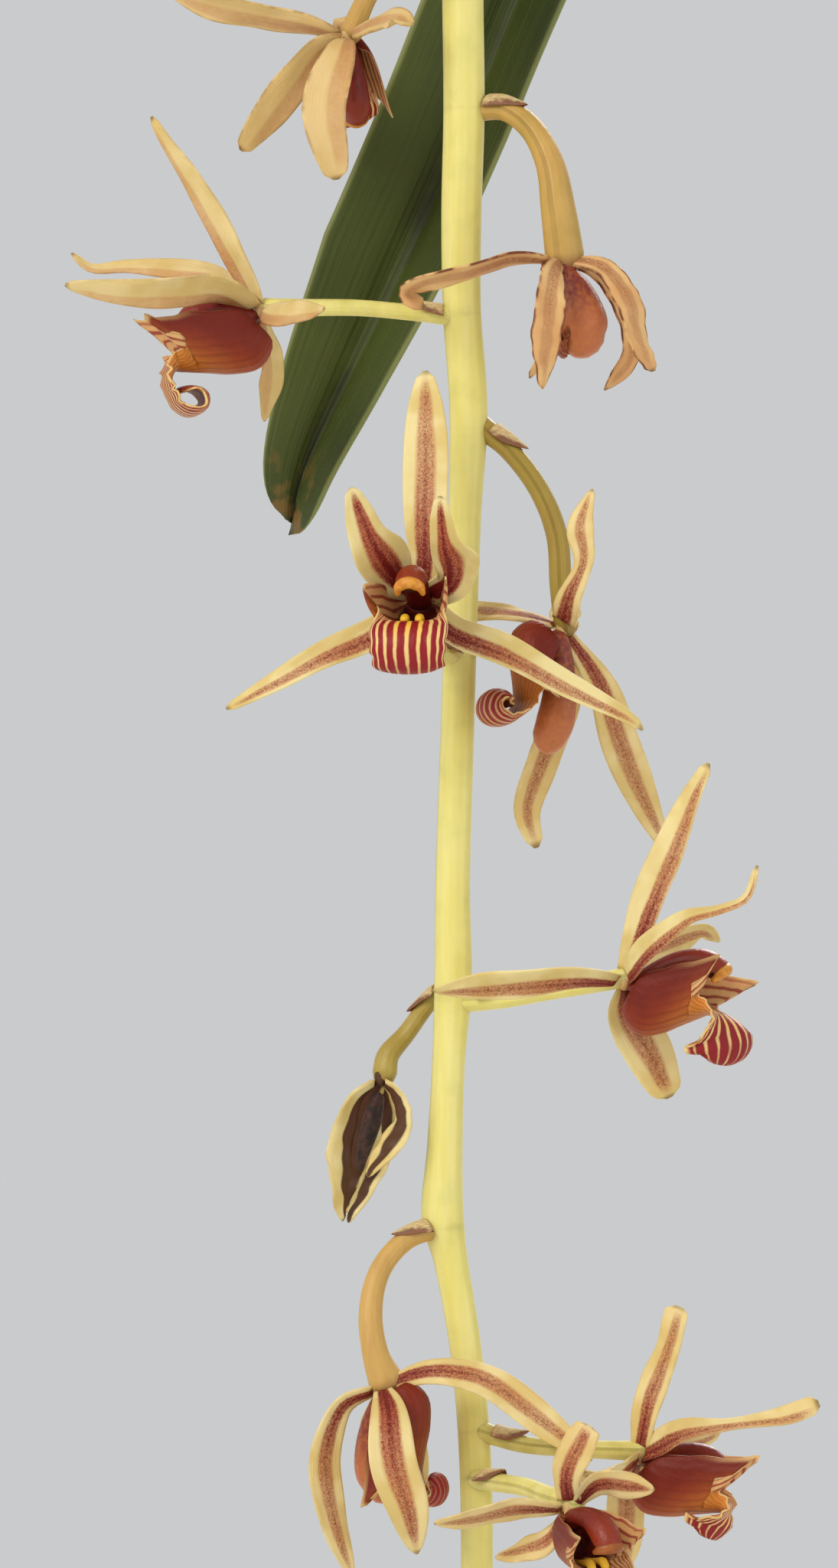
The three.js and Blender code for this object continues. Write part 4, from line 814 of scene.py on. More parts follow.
NEAR_FLOWERS = {
    "04": {
        "hub": (-7, 4, 72.5), "forward": (0.1, 0.25, -0.96), "up": (0.3, -0.93, -0.25),
        "scale": 0.85, "age": 0.4, "tint": 0.9, "back": True,
        "stalk": [(4.2, 0, 84), (-1, 2, 81), (-4.6, 3.5, 77)],
        "tepals": [
            tepal(3.6, (50, 40), (-10, 4, 73.6), (-15, 5, 74.6), (-20, 6, 75.7), (-24.5, 7, 77.2),
                  shift=-0.3),
            tepal(2.6, (40, 40), (-4.6, 1, 73.4), (-2, -4, 73.7), (-1.4, -8, 73), tip=0.6),
            tepal(3.9, (35, 30), (-9.6, 2, 71.4), (-12.6, 0.6, 67.5), (-17.3, 0, 61.3), shift=-0.5,
                  tip=0.4),
            tepal(4.3, (-15, 20), (-7.7, 0, 70.6), (-9.2, -3, 65.2), (-8, -3, 58.3), shift=-0.5,
                  tip=0.5),
            tepal(3.6, (50, 60), (-7.4, 8.6, 73.6), (-8.4, 12.4, 70), (-9.6, 13.4, 63)),
        ],
    },
    "05": {
        "hub": (13.6, -5, 50.5), "forward": (0.24, -0.1, -0.97), "up": (0.95, 0.2, 0.24),
        "scale": 0.84, "age": 0.95, "tint": 0.85, "swollen": 2.0, "arch": 0.4, "crumple": 0.16,
        "lip": {"wilt": 1.0, "tongue": 0.7, "ragged": 0.4}, "lip_size": (1.0, 0.6, 0.45),
        "stalk": [(5.6, 0, 65.3), (8.2, -1, 65.2), (10.8, -2.6, 63.3), (12.6, -4, 59.8),
                  (13.4, -5, 55.2)],
        "girths": [1.2, 1.1, 1.2, 1.4, 1.7, 1.9],
        "tepals": [
            tepal(2.8, (60, 50), (9, -6.4, 50.6), (5, -7, 49.4), (0.2, -6.6, 48.3), (-1.3, -5.4, 47.2),
                  (0.4, -5, 45.8), tip=0.5),
            tepal(3.2, (20, 30), (12.8, -9.8, 48.8), (12.2, -12, 43.6), (11.8, -11.6, 37.8)),
            tepal(3.0, (40, 40), (17.5, -6, 49.7), (20, -7, 46.6), (20.9, -7, 43.2), (22.4, -7, 39.6),
                  tip=0.6),
            tepal(2.6, (50, 50), (14, -0.4, 49), (13.6, 2.4, 45), (10.8, 2.6, 39.4)),
            tepal(2.6, (40, 40), (17, -3, 49.5), (20, -2, 45), (20.2, -1.6, 41), (17.8, -1.6, 38)),
        ],
    },
    "06": {
        "hub": (-15.3, -2, 45.6), "forward": (-0.97, -0.12, -0.24), "up": (-0.24, 0, 0.97),
        "age": 0.2, "tint": 0.2, "back": True,
        "lip_size": (1.2, 1.0, 1.0), "column_size": (0.82, 0.9, 0.9),
        "lip": {"bends": [30, 70, 95, 100, 115, 165, 215, 265, 315, 350, 370], "tongue": 0.88,
                "roll": 0.25, "ragged": 0.3},
        "stalk": [(3.4, -0.4, 45.2), (-1, -1, 45.6), (-6, -1.6, 46), (-11, -2, 46)],
        "girths": [0.95, 0.8, 0.8, 0.85, 0.95],
        "tepals": [
            tepal(4.0, (20, 30), (-13.6, -6.4, 45.2), (-11, -10.4, 45.2), (-9, -15, 45.4), shift=0.7,
                  left=[0.8, 1.4, 1.4, 0.9, 0.2]),
            tepal(3.4, (50, 55), (-14.9, 0.6, 43), (-14.4, 3, 39.6), (-15, 5, 35.2), shift=0.5),
            tepal(2.9, (35, 35), (-16.2, -2.4, 48), (-18.3, -2.6, 52), (-21.2, -3, 57.2),
                  (-24.6, -3.5, 62.4), (-25.8, -3.6, 64.4), shift=-0.75,
                  left=[0.8, 1.15, 1.3, 1.35, 1.3, 1.15, 0.75, 0.4]),
            tepal(3.2, (-55, -50), (-18.6, 0.6, 48.8), (-23, 4, 49.9), (-28.6, 7, 50.2),
                  (-32, 7.8, 50.2), (-33.9, 8, 51.7), shift=-0.8,
                  left=[0.8, 1.3, 1.5, 1.5, 1.3, 1.0, 0.8, 0.5]),
            tepal(3.8, (40, 40), (-18.8, -4.8, 47.6), (-23, -7.8, 47.5), (-28, -9.4, 47.3),
                  (-34, -10, 47.9), shift=-0.75, left=[0.9, 1.6, 1.9, 1.95, 1.8, 1.5, 1.1, 0.5]),
        ],
    },
    "07": {
        "hub": (13.8, -3, 15), "forward": (-0.14, -0.12, -0.98), "up": (0.93, 0.3, -0.15),
        "scale": 0.92, "age": 0.15, "tint": 0.62, "swollen": 1.2, "arch": 0.5,
        "lip_size": (1.08, 1.0, 1.0), "column_size": (1.25, 1.1, 1.1),
        "lip": {"bends": [10, 50, 110, 190, 270, 350], "tongue": 0.9, "spread": 0.6, "plain": 0.45,
                "near_tip": (-2.6, 0, 0), "far_tip": (-2.6, 0, 0)},
        "stalk": [(6, 0, 34.6), (8.6, -0.6, 32.4), (11.6, -1.4, 28.4), (13.3, -2.2, 24), (13.7, -2.8, 19)],
        "girths": [1.15, 1.0, 1.0, 1.05, 1.1, 1.2],
        "tepals": [
            tepal(3.2, (25, 30), (14.6, -5.6, 18), (16.0, -6.8, 21.6), (15.6, -6.8, 24.8),
                  (16.7, -6.4, 28.4), left=[1.3, 1.5, 1.3, 1.0, 1.2, 1.4, 0.9, 0.3]),
            tepal(4.2, (25, 35), (17.4, -0.6, 9.6), (19, 1.6, 5), (21, 3, 0), (24.3, 3.6, -7)),
            tepal(3.6, (-65, -60), (10, -1, 16.1), (6.4, 2.6, 16.6), (1.6, 5.2, 17)),
            tepal(3.6, (20, 30), (14.2, 2.6, 8), (12, 4, 2.6), (10.4, 3.4, -2.6), (11.4, 2.6, -6.2),
                  tip=0.4),
            tepal(3.4, (0, 0), (13.9, 1.6, 15.8), (14.2, 7, 16.2), (14.6, 14, 15.6)),
        ],
    },
    "08": {
        "hub": (0.2, -12.5, 17.7), "forward": (-0.13, -1, 0.09), "up": (0, 0.09, 1), "scale": 0.93,
        "lip": {"bends": [0, 30, 80, 125, 190, 240], "tongue": 0.88, "roll": 0.45, "ragged": 0.02,
                "near_tip": (0, 0.9, -1.6), "far_tip": (0, 0, -0.9)},
        "age": 0.0, "tint": 0.2,
        "stalk": [(3.4, -0.8, 12.6), (1.6, -4.6, 12.8), (0.2, -8, 14.6)],
        "tepals": [
            tepal(4.8, (8, 8), (0.6, -13, 21), (0.6, -12.2, 26), (0.7, -10.8, 32), (0.6, -8.4, 39.7),
                  wave=0.1, left=[1.3, 1.55, 1.95, 2.15, 2.2, 2.05, 1.6, 0.7]),
            tepal(4.9, (0, -10), (-3.0, -16.4, 20.6), (-4.4, -18.6, 23.0), (-6.5, -21, 28.2),
                  stripe=2.2, left=[0.9, 1.8, 2.3, 2.5, 2.1, 1.5, 0.7],
                  right=[0.9, 1.5, 2.6, 2.7, 1.6, 1.2, 0.5], wave=0.35),
            tepal(4.9, (0, 10), (2.8, -16, 19.6), (2.4, -18.4, 22.8), (2.0, -20.6, 27.4), stripe=2.2,
                  left=[0.8, 1.1, 1.1, 1.4, 1.3, 1.1, 0.5], right=[0.9, 1.8, 2.5, 3.1, 1.5, 1.0, 0.5],
                  wave=0.35),
            tepal(3.0, (-15, -10), (-4.4, -12.2, 14.4), (-8.6, -12, 12.6), (-13.4, -11.4, 10),
                  (-18.5, -10.6, 7.2), left=[1.2, 1.5, 1.5, 1.3, 1.1, 0.8, 0.35], shift=-0.3),
            tepal(3.2, (10, 15), (3.2, -12.2, 14.8), (8.2, -12, 12.8), (14.4, -11, 9.4),
                  (20.4, -9.8, 6.2), (21.5, -9.6, 5.2), left=[1.2, 1.5, 1.6, 1.4, 1.2, 0.9, 0.4],
                  shift=0.35),
        ],
    },
    "09": {
        "hub": (19.8, -4, -19), "forward": (0.99, -0.12, 0.05), "up": (-0.05, 0, 1),
        "age": 0.0, "tint": 0.1,
        "lip": {"bends": [5, 35, 60, 85, 120, 170], "tongue": 0.6, "roll": 1.3, "swing": 0.8,
                "far_tip": (3, 0, -3)},
        "stalk": [(4.6, -0.6, -21), (8.4, -1.6, -20.7), (12.4, -2.6, -20), (16, -3.6, -19.4)],
        "girths": [1.1, 0.95, 0.9, 0.9, 1.0],
        "tepals": [
            tepal(3.6, (25, 30), (21.3, -4.6, -13.6), (24, -5.4, -6.6), (26.3, -5.8, -1), (27.9, -6, 2),
                  shift=0.5, left=[1.0, 1.45, 1.7, 1.75, 1.65, 1.4, 1.05, 0.6]),
            tepal(3.2, (40, 50), (22, -8.4, -15.8), (25.6, -11.6, -12.9), (28.8, -13.6, -12),
                  (31.3, -14.2, -10.9), (32.4, -14.4, -7.8), shift=0.75,
                  left=[0.9, 1.25, 1.35, 1.2, 0.9, 0.7, 0.55, 0.45]),
            tepal(3.6, (-50, -50), (21.4, 0.6, -16.6), (24.6, 4, -15.2), (27.8, 6.6, -14.4),
                  (29, 8, -15.4), tip=0.4),
            tepal(3.6, (35, 45), (15.6, -7.2, -18.6), (10.6, -8.4, -18.9), (5.4, -8.2, -19.4),
                  (1.2, -7.4, -19.9), shift=-0.35),
            tepal(4.9, (10, 15), (20.2, 0.4, -22.4), (21.9, 1.4, -25.4), (24.3, 1.4, -30.4), tip=0.55),
        ],
    },
    "10": {
        "hub": (-3.7, 1.5, -28.4), "age": 1.0, "dry": 1.0, "tint": 0.55, "crumple": 0.2,
        "strand": [(-4, 0.8, -30.4), (-4.6, 0.2, -32.4), (-5.2, 0, -34.6), (-5.7, 0.2, -37)],
        "stalk": [(2.6, 1.2, -19.6), (1, 2.6, -21.2), (-1.2, 3, -24.2), (-3, 2.2, -26.4)],
        "girths": [0.9, 0.85, 0.9, 1.1, 1.2],
        "tepals": [
            tepal(2.9, (45, 40), (-6.2, 0.2, -30.4), (-7.6, -0.8, -34), (-7.7, -0.4, -38.4),
                  (-7.5, 0.6, -42.4), shift=-0.65),
            tepal(2.8, (-50, -40), (-2.2, 0, -30), (-1.5, -1.6, -32.4), (-2.8, -2.8, -35),
                  (-5, -3, -38)),
            tepal(4.4, (10, 0), (-5.2, 3.4, -31), (-6, 4.2, -35), (-7.2, 3.6, -41.6)),
            tepal(2.6, (-30, -40), (-3.2, 3.6, -30.6), (-3, 3.4, -34.6), (-4.8, 2, -38.6),
                  (-7, 1.4, -42.6)),
        ],
    },
    "11": {
        "hub": (-3.6, -5.5, -58), "forward": (0.06, 0.08, -0.99), "up": (-0.96, 0.25, -0.05),
        "scale": 0.97, "age": 0.1, "tint": 0.97, "swollen": 1.4, "arch": 0.6,
        "lip_size": (1.2, 0.9, 0.9), "column_size": (1.08, 1.05, 1.1),
        "lip": {"bends": [10, 50, 120, 210, 300], "tongue": 0.6, "plain": 0.8, "near_tip": (-2, 0, 0)},
        "stalk": [(2.2, -0.6, -42.8), (-1.2, -1.6, -44), (-3.8, -3, -47), (-4.7, -4.4, -51),
                  (-4.2, -5.2, -55)],
        "girths": [1.0, 1.0, 1.05, 1.15, 1.3, 1.75],
        "tepals": [
            tepal(3.4, (30, 30), (-7.4, -6.4, -59.8), (-9.1, -7, -64.6), (-8.4, -6.6, -70.4),
                  (-6.4, -6, -76.6)),
            tepal(4.7, (5, 15), (-2.9, -10, -60.4), (-2.5, -12.2, -65), (-1.1, -12.4, -69.4),
                  (-0.2, -11.4, -73.8), stripe=1.5),
            tepal(3.8, (25, 35), (1, -6.6, -56.6), (6, -7.2, -57.3), (10.6, -8, -60.4),
                  (16.6, -8.6, -65)),
            tepal(3.6, (40, 50), (-2, -1.6, -60), (-0.8, 1.4, -64), (0.6, 2.4, -70)),
            tepal(3.4, (50, 60), (-4.4, -1, -60.4), (-4.8, 2.6, -64), (-4.6, 3.8, -68)),
        ],
    },
    "12": {
        "hub": (21.3, -3, -64.8), "forward": (0.97, -0.12, -0.2), "up": (0.2, 0, 0.97),
        "age": 0.1, "tint": 0.3, "lip_size": (1.15, 1.0, 1.0), "column_size": (0.85, 0.85, 0.85),
        "lip": {"bends": [60, 110, 130], "tongue": 0.28, "swing": 0.6, "ragged": 0.15},
        "stalk": [(6, -0.6, -62.6), (10, -1.4, -63.8), (15, -2.2, -64.2)],
        "girths": [1.0, 0.85, 0.85, 1.0],
        "tepals": [
            tepal(3.6, (35, 35), (22.2, -3.4, -59.5), (24, -3.8, -54.6), (25.2, -4, -50.4), shift=0.15,
                  left=[1.1, 1.3, 1.5, 1.6, 1.6, 1.5, 1.5, 1.4]),
            tepal(2.8, (55, 30), (25, -6.6, -62.4), (30, -9, -61.5), (35, -10, -60.7),
                  (38.4, -10.4, -59.4), shift=0.55, left=[1.2, 1.6, 1.5, 1.1, 0.75, 0.9, 1.1, 0.9]),
            tepal(3.2, (-50, -50), (24.4, 1.4, -64.2), (27, 4, -63.8), (29.4, 6, -63), tip=0.4),
            tepal(3.4, (50, 50), (19, -8.6, -66.2), (17, -13, -66.2), (15.6, -17, -65.6)),
            tepal(4.2, (20, 20), (20.4, 1.4, -67.2), (20, 4, -71), (20.4, 5, -76)),
        ],
    },
    "13": {
        "hub": (14.4, -18, -69), "forward": (0.42, -0.8, -0.42), "up": (0.1, -0.4, 0.9),
        "scale": 0.92, "age": 0.2, "tint": 0.2, "cap": 0.3,
        "lip": {"tongue": 0.7, "ragged": 0.2, "plain": 0.5},
        "stalk": [(5.6, -1.2, -67.2), (8, -4.6, -67.4), (10.4, -9, -67.6), (12.6, -14, -68.2)],
        "tepals": [
            tepal(3.2, (45, 50), (9.6, -17.6, -69), (5, -16.6, -70), (1.4, -15.6, -70.6)),
            tepal(3.0, (-45, -50), (12.4, -16.4, -72.2), (10, -14.4, -73.4), (7.3, -12.4, -74)),
            tepal(4.0, (15, 25), (14.2, -19.4, -65.6), (16.2, -20.4, -61),
                  left=[1.2, 1.3, 1.4, 1.6, 1.7, 1.7, 1.6, 1.4], stripe=1.6),
            tepal(3.0, (-30, -20), (17, -19.4, -66.6), (20, -20.4, -66.7), (22.4, -20.6, -67.1),
                  stripe=1.8),
            tepal(3.4, (10, 0), (15.6, -14, -71), (16.6, -9, -72.6), (17, -4, -74)),
        ],
    },
}

# %% [markdown]
# ## The spike's middle line
# The spike leaves the bark as a peduncle, arches over the rim and hangs down. The rest of it, the rachis,
# has a slight knee wherever a flower stalk leaves it, so it is drawn through many points, each with its
# radius. The far flowers above and below are plain open ones, placed by the height and the side where
# their stalks leave the rachis.

# %% Spike lines
PEDUNCLE = [
    (8, 53, 232, 3.0), (8, 44, 243, 2.9), (8, 34, 250.5, 2.9), (8, 24, 253.2, 2.8), (7.6, 12, 249, 2.7),
    (7, 5, 239, 2.6), (6, 1.5, 222, 2.5), (5.2, 0.6, 196, 2.4), (4.6, 0, 168, 2.3), (4.2, 0, 140, 2.2),
    (4.2, 0, 110, 2.1),
]
RACHIS = [
    (4.2, 0, 84, 2.05), (4.3, 0, 75, 2.0), (4.4, 0, 65, 2.0), (4.15, 0, 55, 1.95),
    (4.2, 0, 46, 1.85), (4.85, 0, 36, 1.85), (4.5, 0, 27, 1.62), (4.2, 0, 19, 1.6),
    (3.75, 0, 5, 1.63), (3.3, 0, -10, 1.68), (3.35, 0, -19, 1.82), (2.9, 0, -27, 1.6),
    (2.55, 0, -35, 1.72), (2.35, 0, -42, 2.05), (3.1, 0, -46, 1.65), (4.6, 0, -55, 1.53),
    (5.4, 0, -64, 1.55), (5.65, 0, -75, 1.55), (5.2, 0, -92, 1.45), (4.8, 0, -110, 1.35),
    (5.2, 0, -128, 1.15), (4.7, 0, -147, 0.95), (4.9, 0, -161, 0.6),
]
FAR_FLOWERS = {
    "01": {"z": 134, "angle": 200, "out": 17, "drop": 4},
    "02": {"z": 118, "angle": 335, "out": 17, "drop": 3},
    "03": {"z": 101, "angle": 262, "out": 16, "drop": 3},
    "14": {"z": -93, "angle": 195, "out": 14, "drop": 9},
    "15": {"z": -108, "angle": 75, "out": 16, "drop": 2},
    "16": {"z": -121, "angle": 325, "out": 16, "drop": 2},
}
BUDS = [
    {"z": -135, "angle": 200, "length": 12, "radius": 2.5},
    {"z": -145, "angle": 40, "length": 10, "radius": 2.2},
    {"z": -152, "angle": 290, "length": 8, "radius": 1.8},
    {"z": -158, "angle": 150, "length": 6, "radius": 1.4},
]


def outward(angle):
    return np.array([np.cos(np.radians(angle)), np.sin(np.radians(angle)), 0.0])


def rachis_at(z):
    heights = [row[2] for row in RACHIS][::-1]
    return np.array([np.interp(z, heights, [row[0] for row in RACHIS][::-1]), 0.0, z])


def beside(foot, angle, *places):
    """Points that lie so far out from a foot, on the side that an angle gives, and so far up."""
    return [np.array(foot) + outward(angle) * out + (0, 0, rise) for out, rise in places]


def far_flower(z, angle, out, drop):
    places = [(0.5, 0), (out * 0.35, 0.6), (out * 0.75, -drop * 0.4), (out, -drop)]
    *stalk, hub = beside(rachis_at(z), angle, *places)
    forward = outward(angle) - [0, 0, 0.25]
    return {"hub": hub, "forward": forward, "up": (0, 0, 1), "tint": 0.2, "stalk": stalk}


FLOWERS = {number: far_flower(**row) for number, row in FAR_FLOWERS.items()} | NEAR_FLOWERS
print("flowers:", len(FLOWERS))

# %% [markdown]
# ## Making the flowers
# A flower's own frame has x out of the flower and z up, so a small matrix brings its lip and column, and
# the far flowers' petals, to their place on the spike. Every flower becomes three pieces, because each
# has a finish of its own: sepals and petals with their hub, the lip, and the column.

# %% Making the flowers
HUB_RADIUS, HUB_HALF_HEIGHT = 0.63, 0.3
TEPAL_START = 0.75
FAR_AWAY = 900.0
LIP_FOLDS = [2.1, 0.8, 1.7], [-1.3, 2.7, 2.9], [0.3, 0.25, 0.4]
OPEN_BENDS = [5, 35, 80, 125, 175, 215]


def frame_of(flower):
    x = unit(np.array(flower["forward"], float))
    y = unit(np.cross(flower["up"], x))
    return np.stack([x, y, np.cross(x, y)]) * flower.get("scale", 1.0)


def moved(shape, flower):
    shape.points = shape.points @ frame_of(flower) + flower["hub"]
    return shape


def from_hub(hub, line):
    way = np.array(line[0], float) - hub
    return [np.array(hub) + unit(way) * TEPAL_START, *line]


def add_hub(shape, hub, age, dry):
    ends = [hub + (0, 0, HUB_HALF_HEIGHT), hub - (0, 0, HUB_HALF_HEIGHT)]
    points, faces, _ = tube(ends, [HUB_RADIUS] * 2, sides=14)
    shape.add(points, faces, across=0.4, along=0.1, side=0.0, stripe=0.6, age=age * 0.7, dry=dry)


def tepal_shape(number, flower):
    """The sepals and petals of a flower. A posed flower has its own, and a far one the plain open ones."""
    shape = Shape()
    age, dry, crumple = (flower.get(name, 0.0) for name in ("age", "dry", "crumple"))
    posed = "tepals" in flower
    hub, looks_at = np.zeros(3), (12, 0, 0)
    if posed:
        hub = np.array(flower["hub"], float)
        looks_at = hub + [0, FAR_AWAY if flower.get("back") else -FAR_AWAY, 0]
    for k, row in enumerate(flower.get("tepals", OPEN_TEPALS)):
        form = {**row, "line": from_hub(hub, row["line"]), "phase": 1.7 * k + 0.6 * int(number)}
        add_blade(shape, looks_at, age=age, dry=dry, crumple=crumple, **form)
    add_hub(shape, hub, age, dry)
    return shape if posed else moved(shape, flower)


for number, flower in sorted(FLOWERS.items()):
    tepals = object_of(tepal_shape(number, flower), f"flower_{number}_tepals", PETAL)
    hand_in(tepals, "tepal", f"flower_{number}_sepals_petals")
    if "strand" in flower:
        continue
    lip = Shape()
    form = {"bends": OPEN_BENDS, **flower.get("lip", {})}
    add_lip(lip, **form)
    add_calli(lip, form.get("wilt", 0))
    if "wilt" in form:
        lip.points = lip.points + folds_at(lip.points, *LIP_FOLDS, 1)
    lip.points = lip.points * flower.get("lip_size", 1.0)
    lip = object_of(moved(lip, flower), f"flower_{number}_lip", LIP)
    hand_in(lip, "lip", f"flower_{number}_lip_column")
    column = Shape()
    swollen = flower.get("swollen", 1.0)
    cap = flower.get("cap", 0.3 if swollen > 1 else 1.0)
    add_column(column, swollen, flower.get("arch", 1.0), swollen > 1, cap)
    column.points = column.points * flower.get("column_size", 1.0)
    column = object_of(moved(column, flower), f"flower_{number}_column", COLUMN_SKIN)
    hand_in(column, "lip", f"flower_{number}_lip_column")

# %% [markdown]
# ## Trees of Geometry Nodes
# Stems and bark chips are made by trees of nodes. Every tree has named inputs and ends in the same way,
# and its result is put into the object's own mesh.

# %% Trees of nodes
def new_tree(name, inputs):
    """A tree with named inputs, the node that gives their values, and their identifiers."""
    tree = bpy.data.node_groups.new(name, "GeometryNodeTree")
    new_socket = tree.interface.new_socket
    for side in ("INPUT", "OUTPUT"):
        new_socket("Geometry", in_out=side, socket_type="NodeSocketGeometry")
    sockets = {}
    for label, kind in inputs.items():
        socket = new_socket(label, in_out="INPUT", socket_type=f"NodeSocket{kind}")
        sockets[label] = socket.identifier
    return tree, add_node(tree, "NodeGroupInput").outputs, sockets


def end_tree(tree, geometry, material):
    """Makes a tree's instances real, gives them their material and hands them out."""
    whole = add_node(tree, "GeometryNodeRealizeInstances", Geometry=geometry)
    done = add_node(tree, "GeometryNodeSetMaterial", Geometry=whole.outputs[0], Material=material)
    add_node(tree, "NodeGroupOutput", Geometry=done.outputs[0])


def bake(thing):
    """Puts what the modifiers make into the mesh itself and takes them off."""
    shown = thing.evaluated_get(bpy.context.evaluated_depsgraph_get())
    thing.data = bpy.data.meshes.new_from_object(shown)
    thing.modifiers.clear()
    thing.data.name = thing.name
    return thing


def grow(thing, tree, sockets, values):
    """Lets a tree work on an object, with the values of the tree's inputs, and bakes what it makes."""
    modifier = thing.modifiers.new(tree.name, "NODES")
    modifier.node_group = tree
    for label, value in values.items():
        modifier[sockets[label]] = value
    return bake(thing)


print("every tree takes an object's mesh as its first input")

# %% [markdown]
# ## Stems
# Stalks, roots, wires and even the pseudobulbs are all the same thing: a line with its own thickness at
# every point. A curve with a bevel would do for one, but there are dozens, so one tree of nodes makes
# them all. It takes a mesh of plain edges whose points carry a radius, turns the edges into curves and
# sweeps a ring along them. The ring can have ridges, like a flower stalk's three.

# %% The stem tree
def stem_tree():
    inputs = {"Sides": "Int", "Ridges": "Float", "Ridge depth": "Float", "Material": "Material"}
    tree, given, sockets = new_tree("stems", inputs)
    ring = add_node(tree, "GeometryNodeCurvePrimitiveCircle", Resolution=given["Sides"], Radius=1.0)
    turn = Number(tree, add_node(tree, "GeometryNodeSplineParameter").outputs["Factor"])
    swell = (turn * Number(tree, given["Ridges"]) * (2 * np.pi)).cos()
    swell = swell * Number(tree, given["Ridge depth"])
    place = add_node(tree, "GeometryNodeInputPosition").outputs[0]
    push = add_node(tree, "ShaderNodeVectorMath", {"operation": "SCALE"}, Vector=place, Scale=swell)
    ring = add_node(tree, "GeometryNodeSetPosition", Geometry=ring.outputs[0], Offset=push.outputs[0])
    settings = {"data_type": "FLOAT", "domain": "POINT"}
    ring = add_node(tree, "GeometryNodeStoreNamedAttribute", settings, Geometry=ring.outputs[0],
                    Name="around", Value=turn)
    lines = add_node(tree, "GeometryNodeMeshToCurve", Mesh=given["Geometry"])
    radius = add_node(tree, "GeometryNodeInputNamedAttribute", {"data_type": "FLOAT"}, Name="radius")
    sweep = add_node(tree, "GeometryNodeCurveToMesh", Curve=lines.outputs[0], Profile_Curve=ring.outputs[0],
                     Scale=radius.outputs["Attribute"], Fill_Caps=True)
    soft = add_node(tree, "GeometryNodeSetShadeSmooth", Geometry=sweep.outputs[0])
    end_tree(tree, soft.outputs[0], given["Material"])
    return tree, sockets


STEMS, STEM_SOCKETS = stem_tree()
print("the stem tree has", len(STEMS.nodes), "nodes")

# %% [markdown]
# ## Lines to sweep
# The lines are collected as points with marks, and each gets a few shrinking points at both ends, so that
# the swept stem is round there and not cut off.

# %% Lines
END_ANGLES = np.radians([80, 60, 35])


class Lines:
    """Lines in mm with a radius and marks at each point, to be swept into stems."""

    def __init__(self):
        self.points, self.edges, self.marks = [], [], {"radius": [], "along": [], "tint": [], "scar": []}

    def add(self, line, radii, tint=0.0, rows=None, scars=np.zeros_like):
        rows = rows or (len(line) - 1) * 6 + 1
        centre, along, station = spline(line, rows)
        radius = smooth(radii, station * (len(radii) - 1) / (len(line) - 1))
        shares, outs = np.cos(END_ANGLES), np.sin(END_ANGLES)
        start = [centre[0] - along[0] * radius[0] * out for out in outs]
        end = [centre[-1] + along[-1] * radius[-1] * out for out in outs[::-1]]
        centre = np.vstack([start, centre, end])
        radius = np.concatenate([radius[0] * shares, radius, radius[-1] * shares[::-1]])
        first, count = len(self.points), len(centre)
        self.points += centre.tolist()
        self.edges += [(first + i, first + i + 1) for i in range(count - 1)]
        self.marks["radius"] += (radius * MM).tolist()
        self.marks["along"] += np.linspace(0, 1, count).tolist()
        self.marks["tint"] += [tint] * count
        self.marks["scar"] += scars(centre[:, 2]).tolist()

    def sweep(self, name, material, sides=14, ridges=0.0, depth=0.0, origin=SPIKE_ORIGIN):
        thing = mesh_object(name, self.points, self.edges, [], self.marks, origin)
        values = {"Sides": sides, "Ridges": ridges, "Ridge depth": depth, "Material": material}
        return grow(thing, STEMS, STEM_SOCKETS, values)


line_trial = Lines()
line_trial.add([(0, 0, 0), (0, 0, 5)], [1, 1])
print("a test line has", len(line_trial.points), "points")

# %% [markdown]
# ## The skin of the rachis and the stalks
# The rachis is waxy and pale yellow-green with faint streaks along it. A stalk turns olive and then tan
# as its flower ages. One finish does for both, because each line carries its own tint as a mark.

# %% Stem finish
WAX = colour(220, 208, 114)
WAX_LIGHT = colour(236, 228, 166)
LEAF_GREEN = colour(158, 164, 78)
OLIVE = colour(160, 136, 58)
HONEY = colour(198, 158, 86)
OCHRE = colour(146, 104, 52)
PLUM = colour(112, 62, 52)
SCALE_BROWN = colour(124, 82, 54)
PAPER = colour(214, 194, 138)
STRAW = colour(180, 146, 100)
STALK_RIBS = 14
BUD_STREAKS = 3


def stem_finish():
    skin = Surface("stem_skin", Roughness=0.45, Specular_IOR_Level=0.35, Subsurface_Weight=0.3,
                   Subsurface_Scale=0.0015, Subsurface_Radius=(0.9, 0.9, 0.3))
    tint, along, around, scar = skin.marks("tint along around scar")
    streaks = skin.noise(1.2, 3.0, stretch=(1, 1, 0.12))
    mottle = skin.noise(2.6, 3.0)
    fresh = skin.blend(streaks.rise(0.2, 0.9) * 0.5, WAX, WAX_LIGHT)
    fresh = skin.blend(mottle.rise(0.4, 0.85) * 0.2, fresh, LEAF_GREEN)
    ageing = (tint + (mottle - 0.5) * 0.3).clear()
    aged = skin.blend(ageing.rise(0.62, 0.95), OLIVE, HONEY)
    aged = skin.blend(streaks.rise(0.4, 0.9) * 0.35, aged, OCHRE)
    painted = skin.blend(ageing.rise(0.12, 0.62), fresh, aged)
    ring = along.rise(0.9, 0.97) * tint.rise(0.45, 0.8)
    painted = skin.blend(ring * 0.8, painted, PLUM)
    painted = skin.blend((scar * (mottle + 0.2)).rise(0.5, 0.9) * 0.15, painted, SCALE_BROWN)
    skin.paint(painted)
    ribs = (around * (STALK_RIBS * 2 * np.pi)).cos() * 0.07
    skin.relief(streaks * 0.3 + skin.noise(0.6, 3.0) * 0.35 + ribs, 0.12)
    return skin.material


STEM = stem_finish()
print("stem finish has", len(STEM.node_tree.nodes), "nodes")

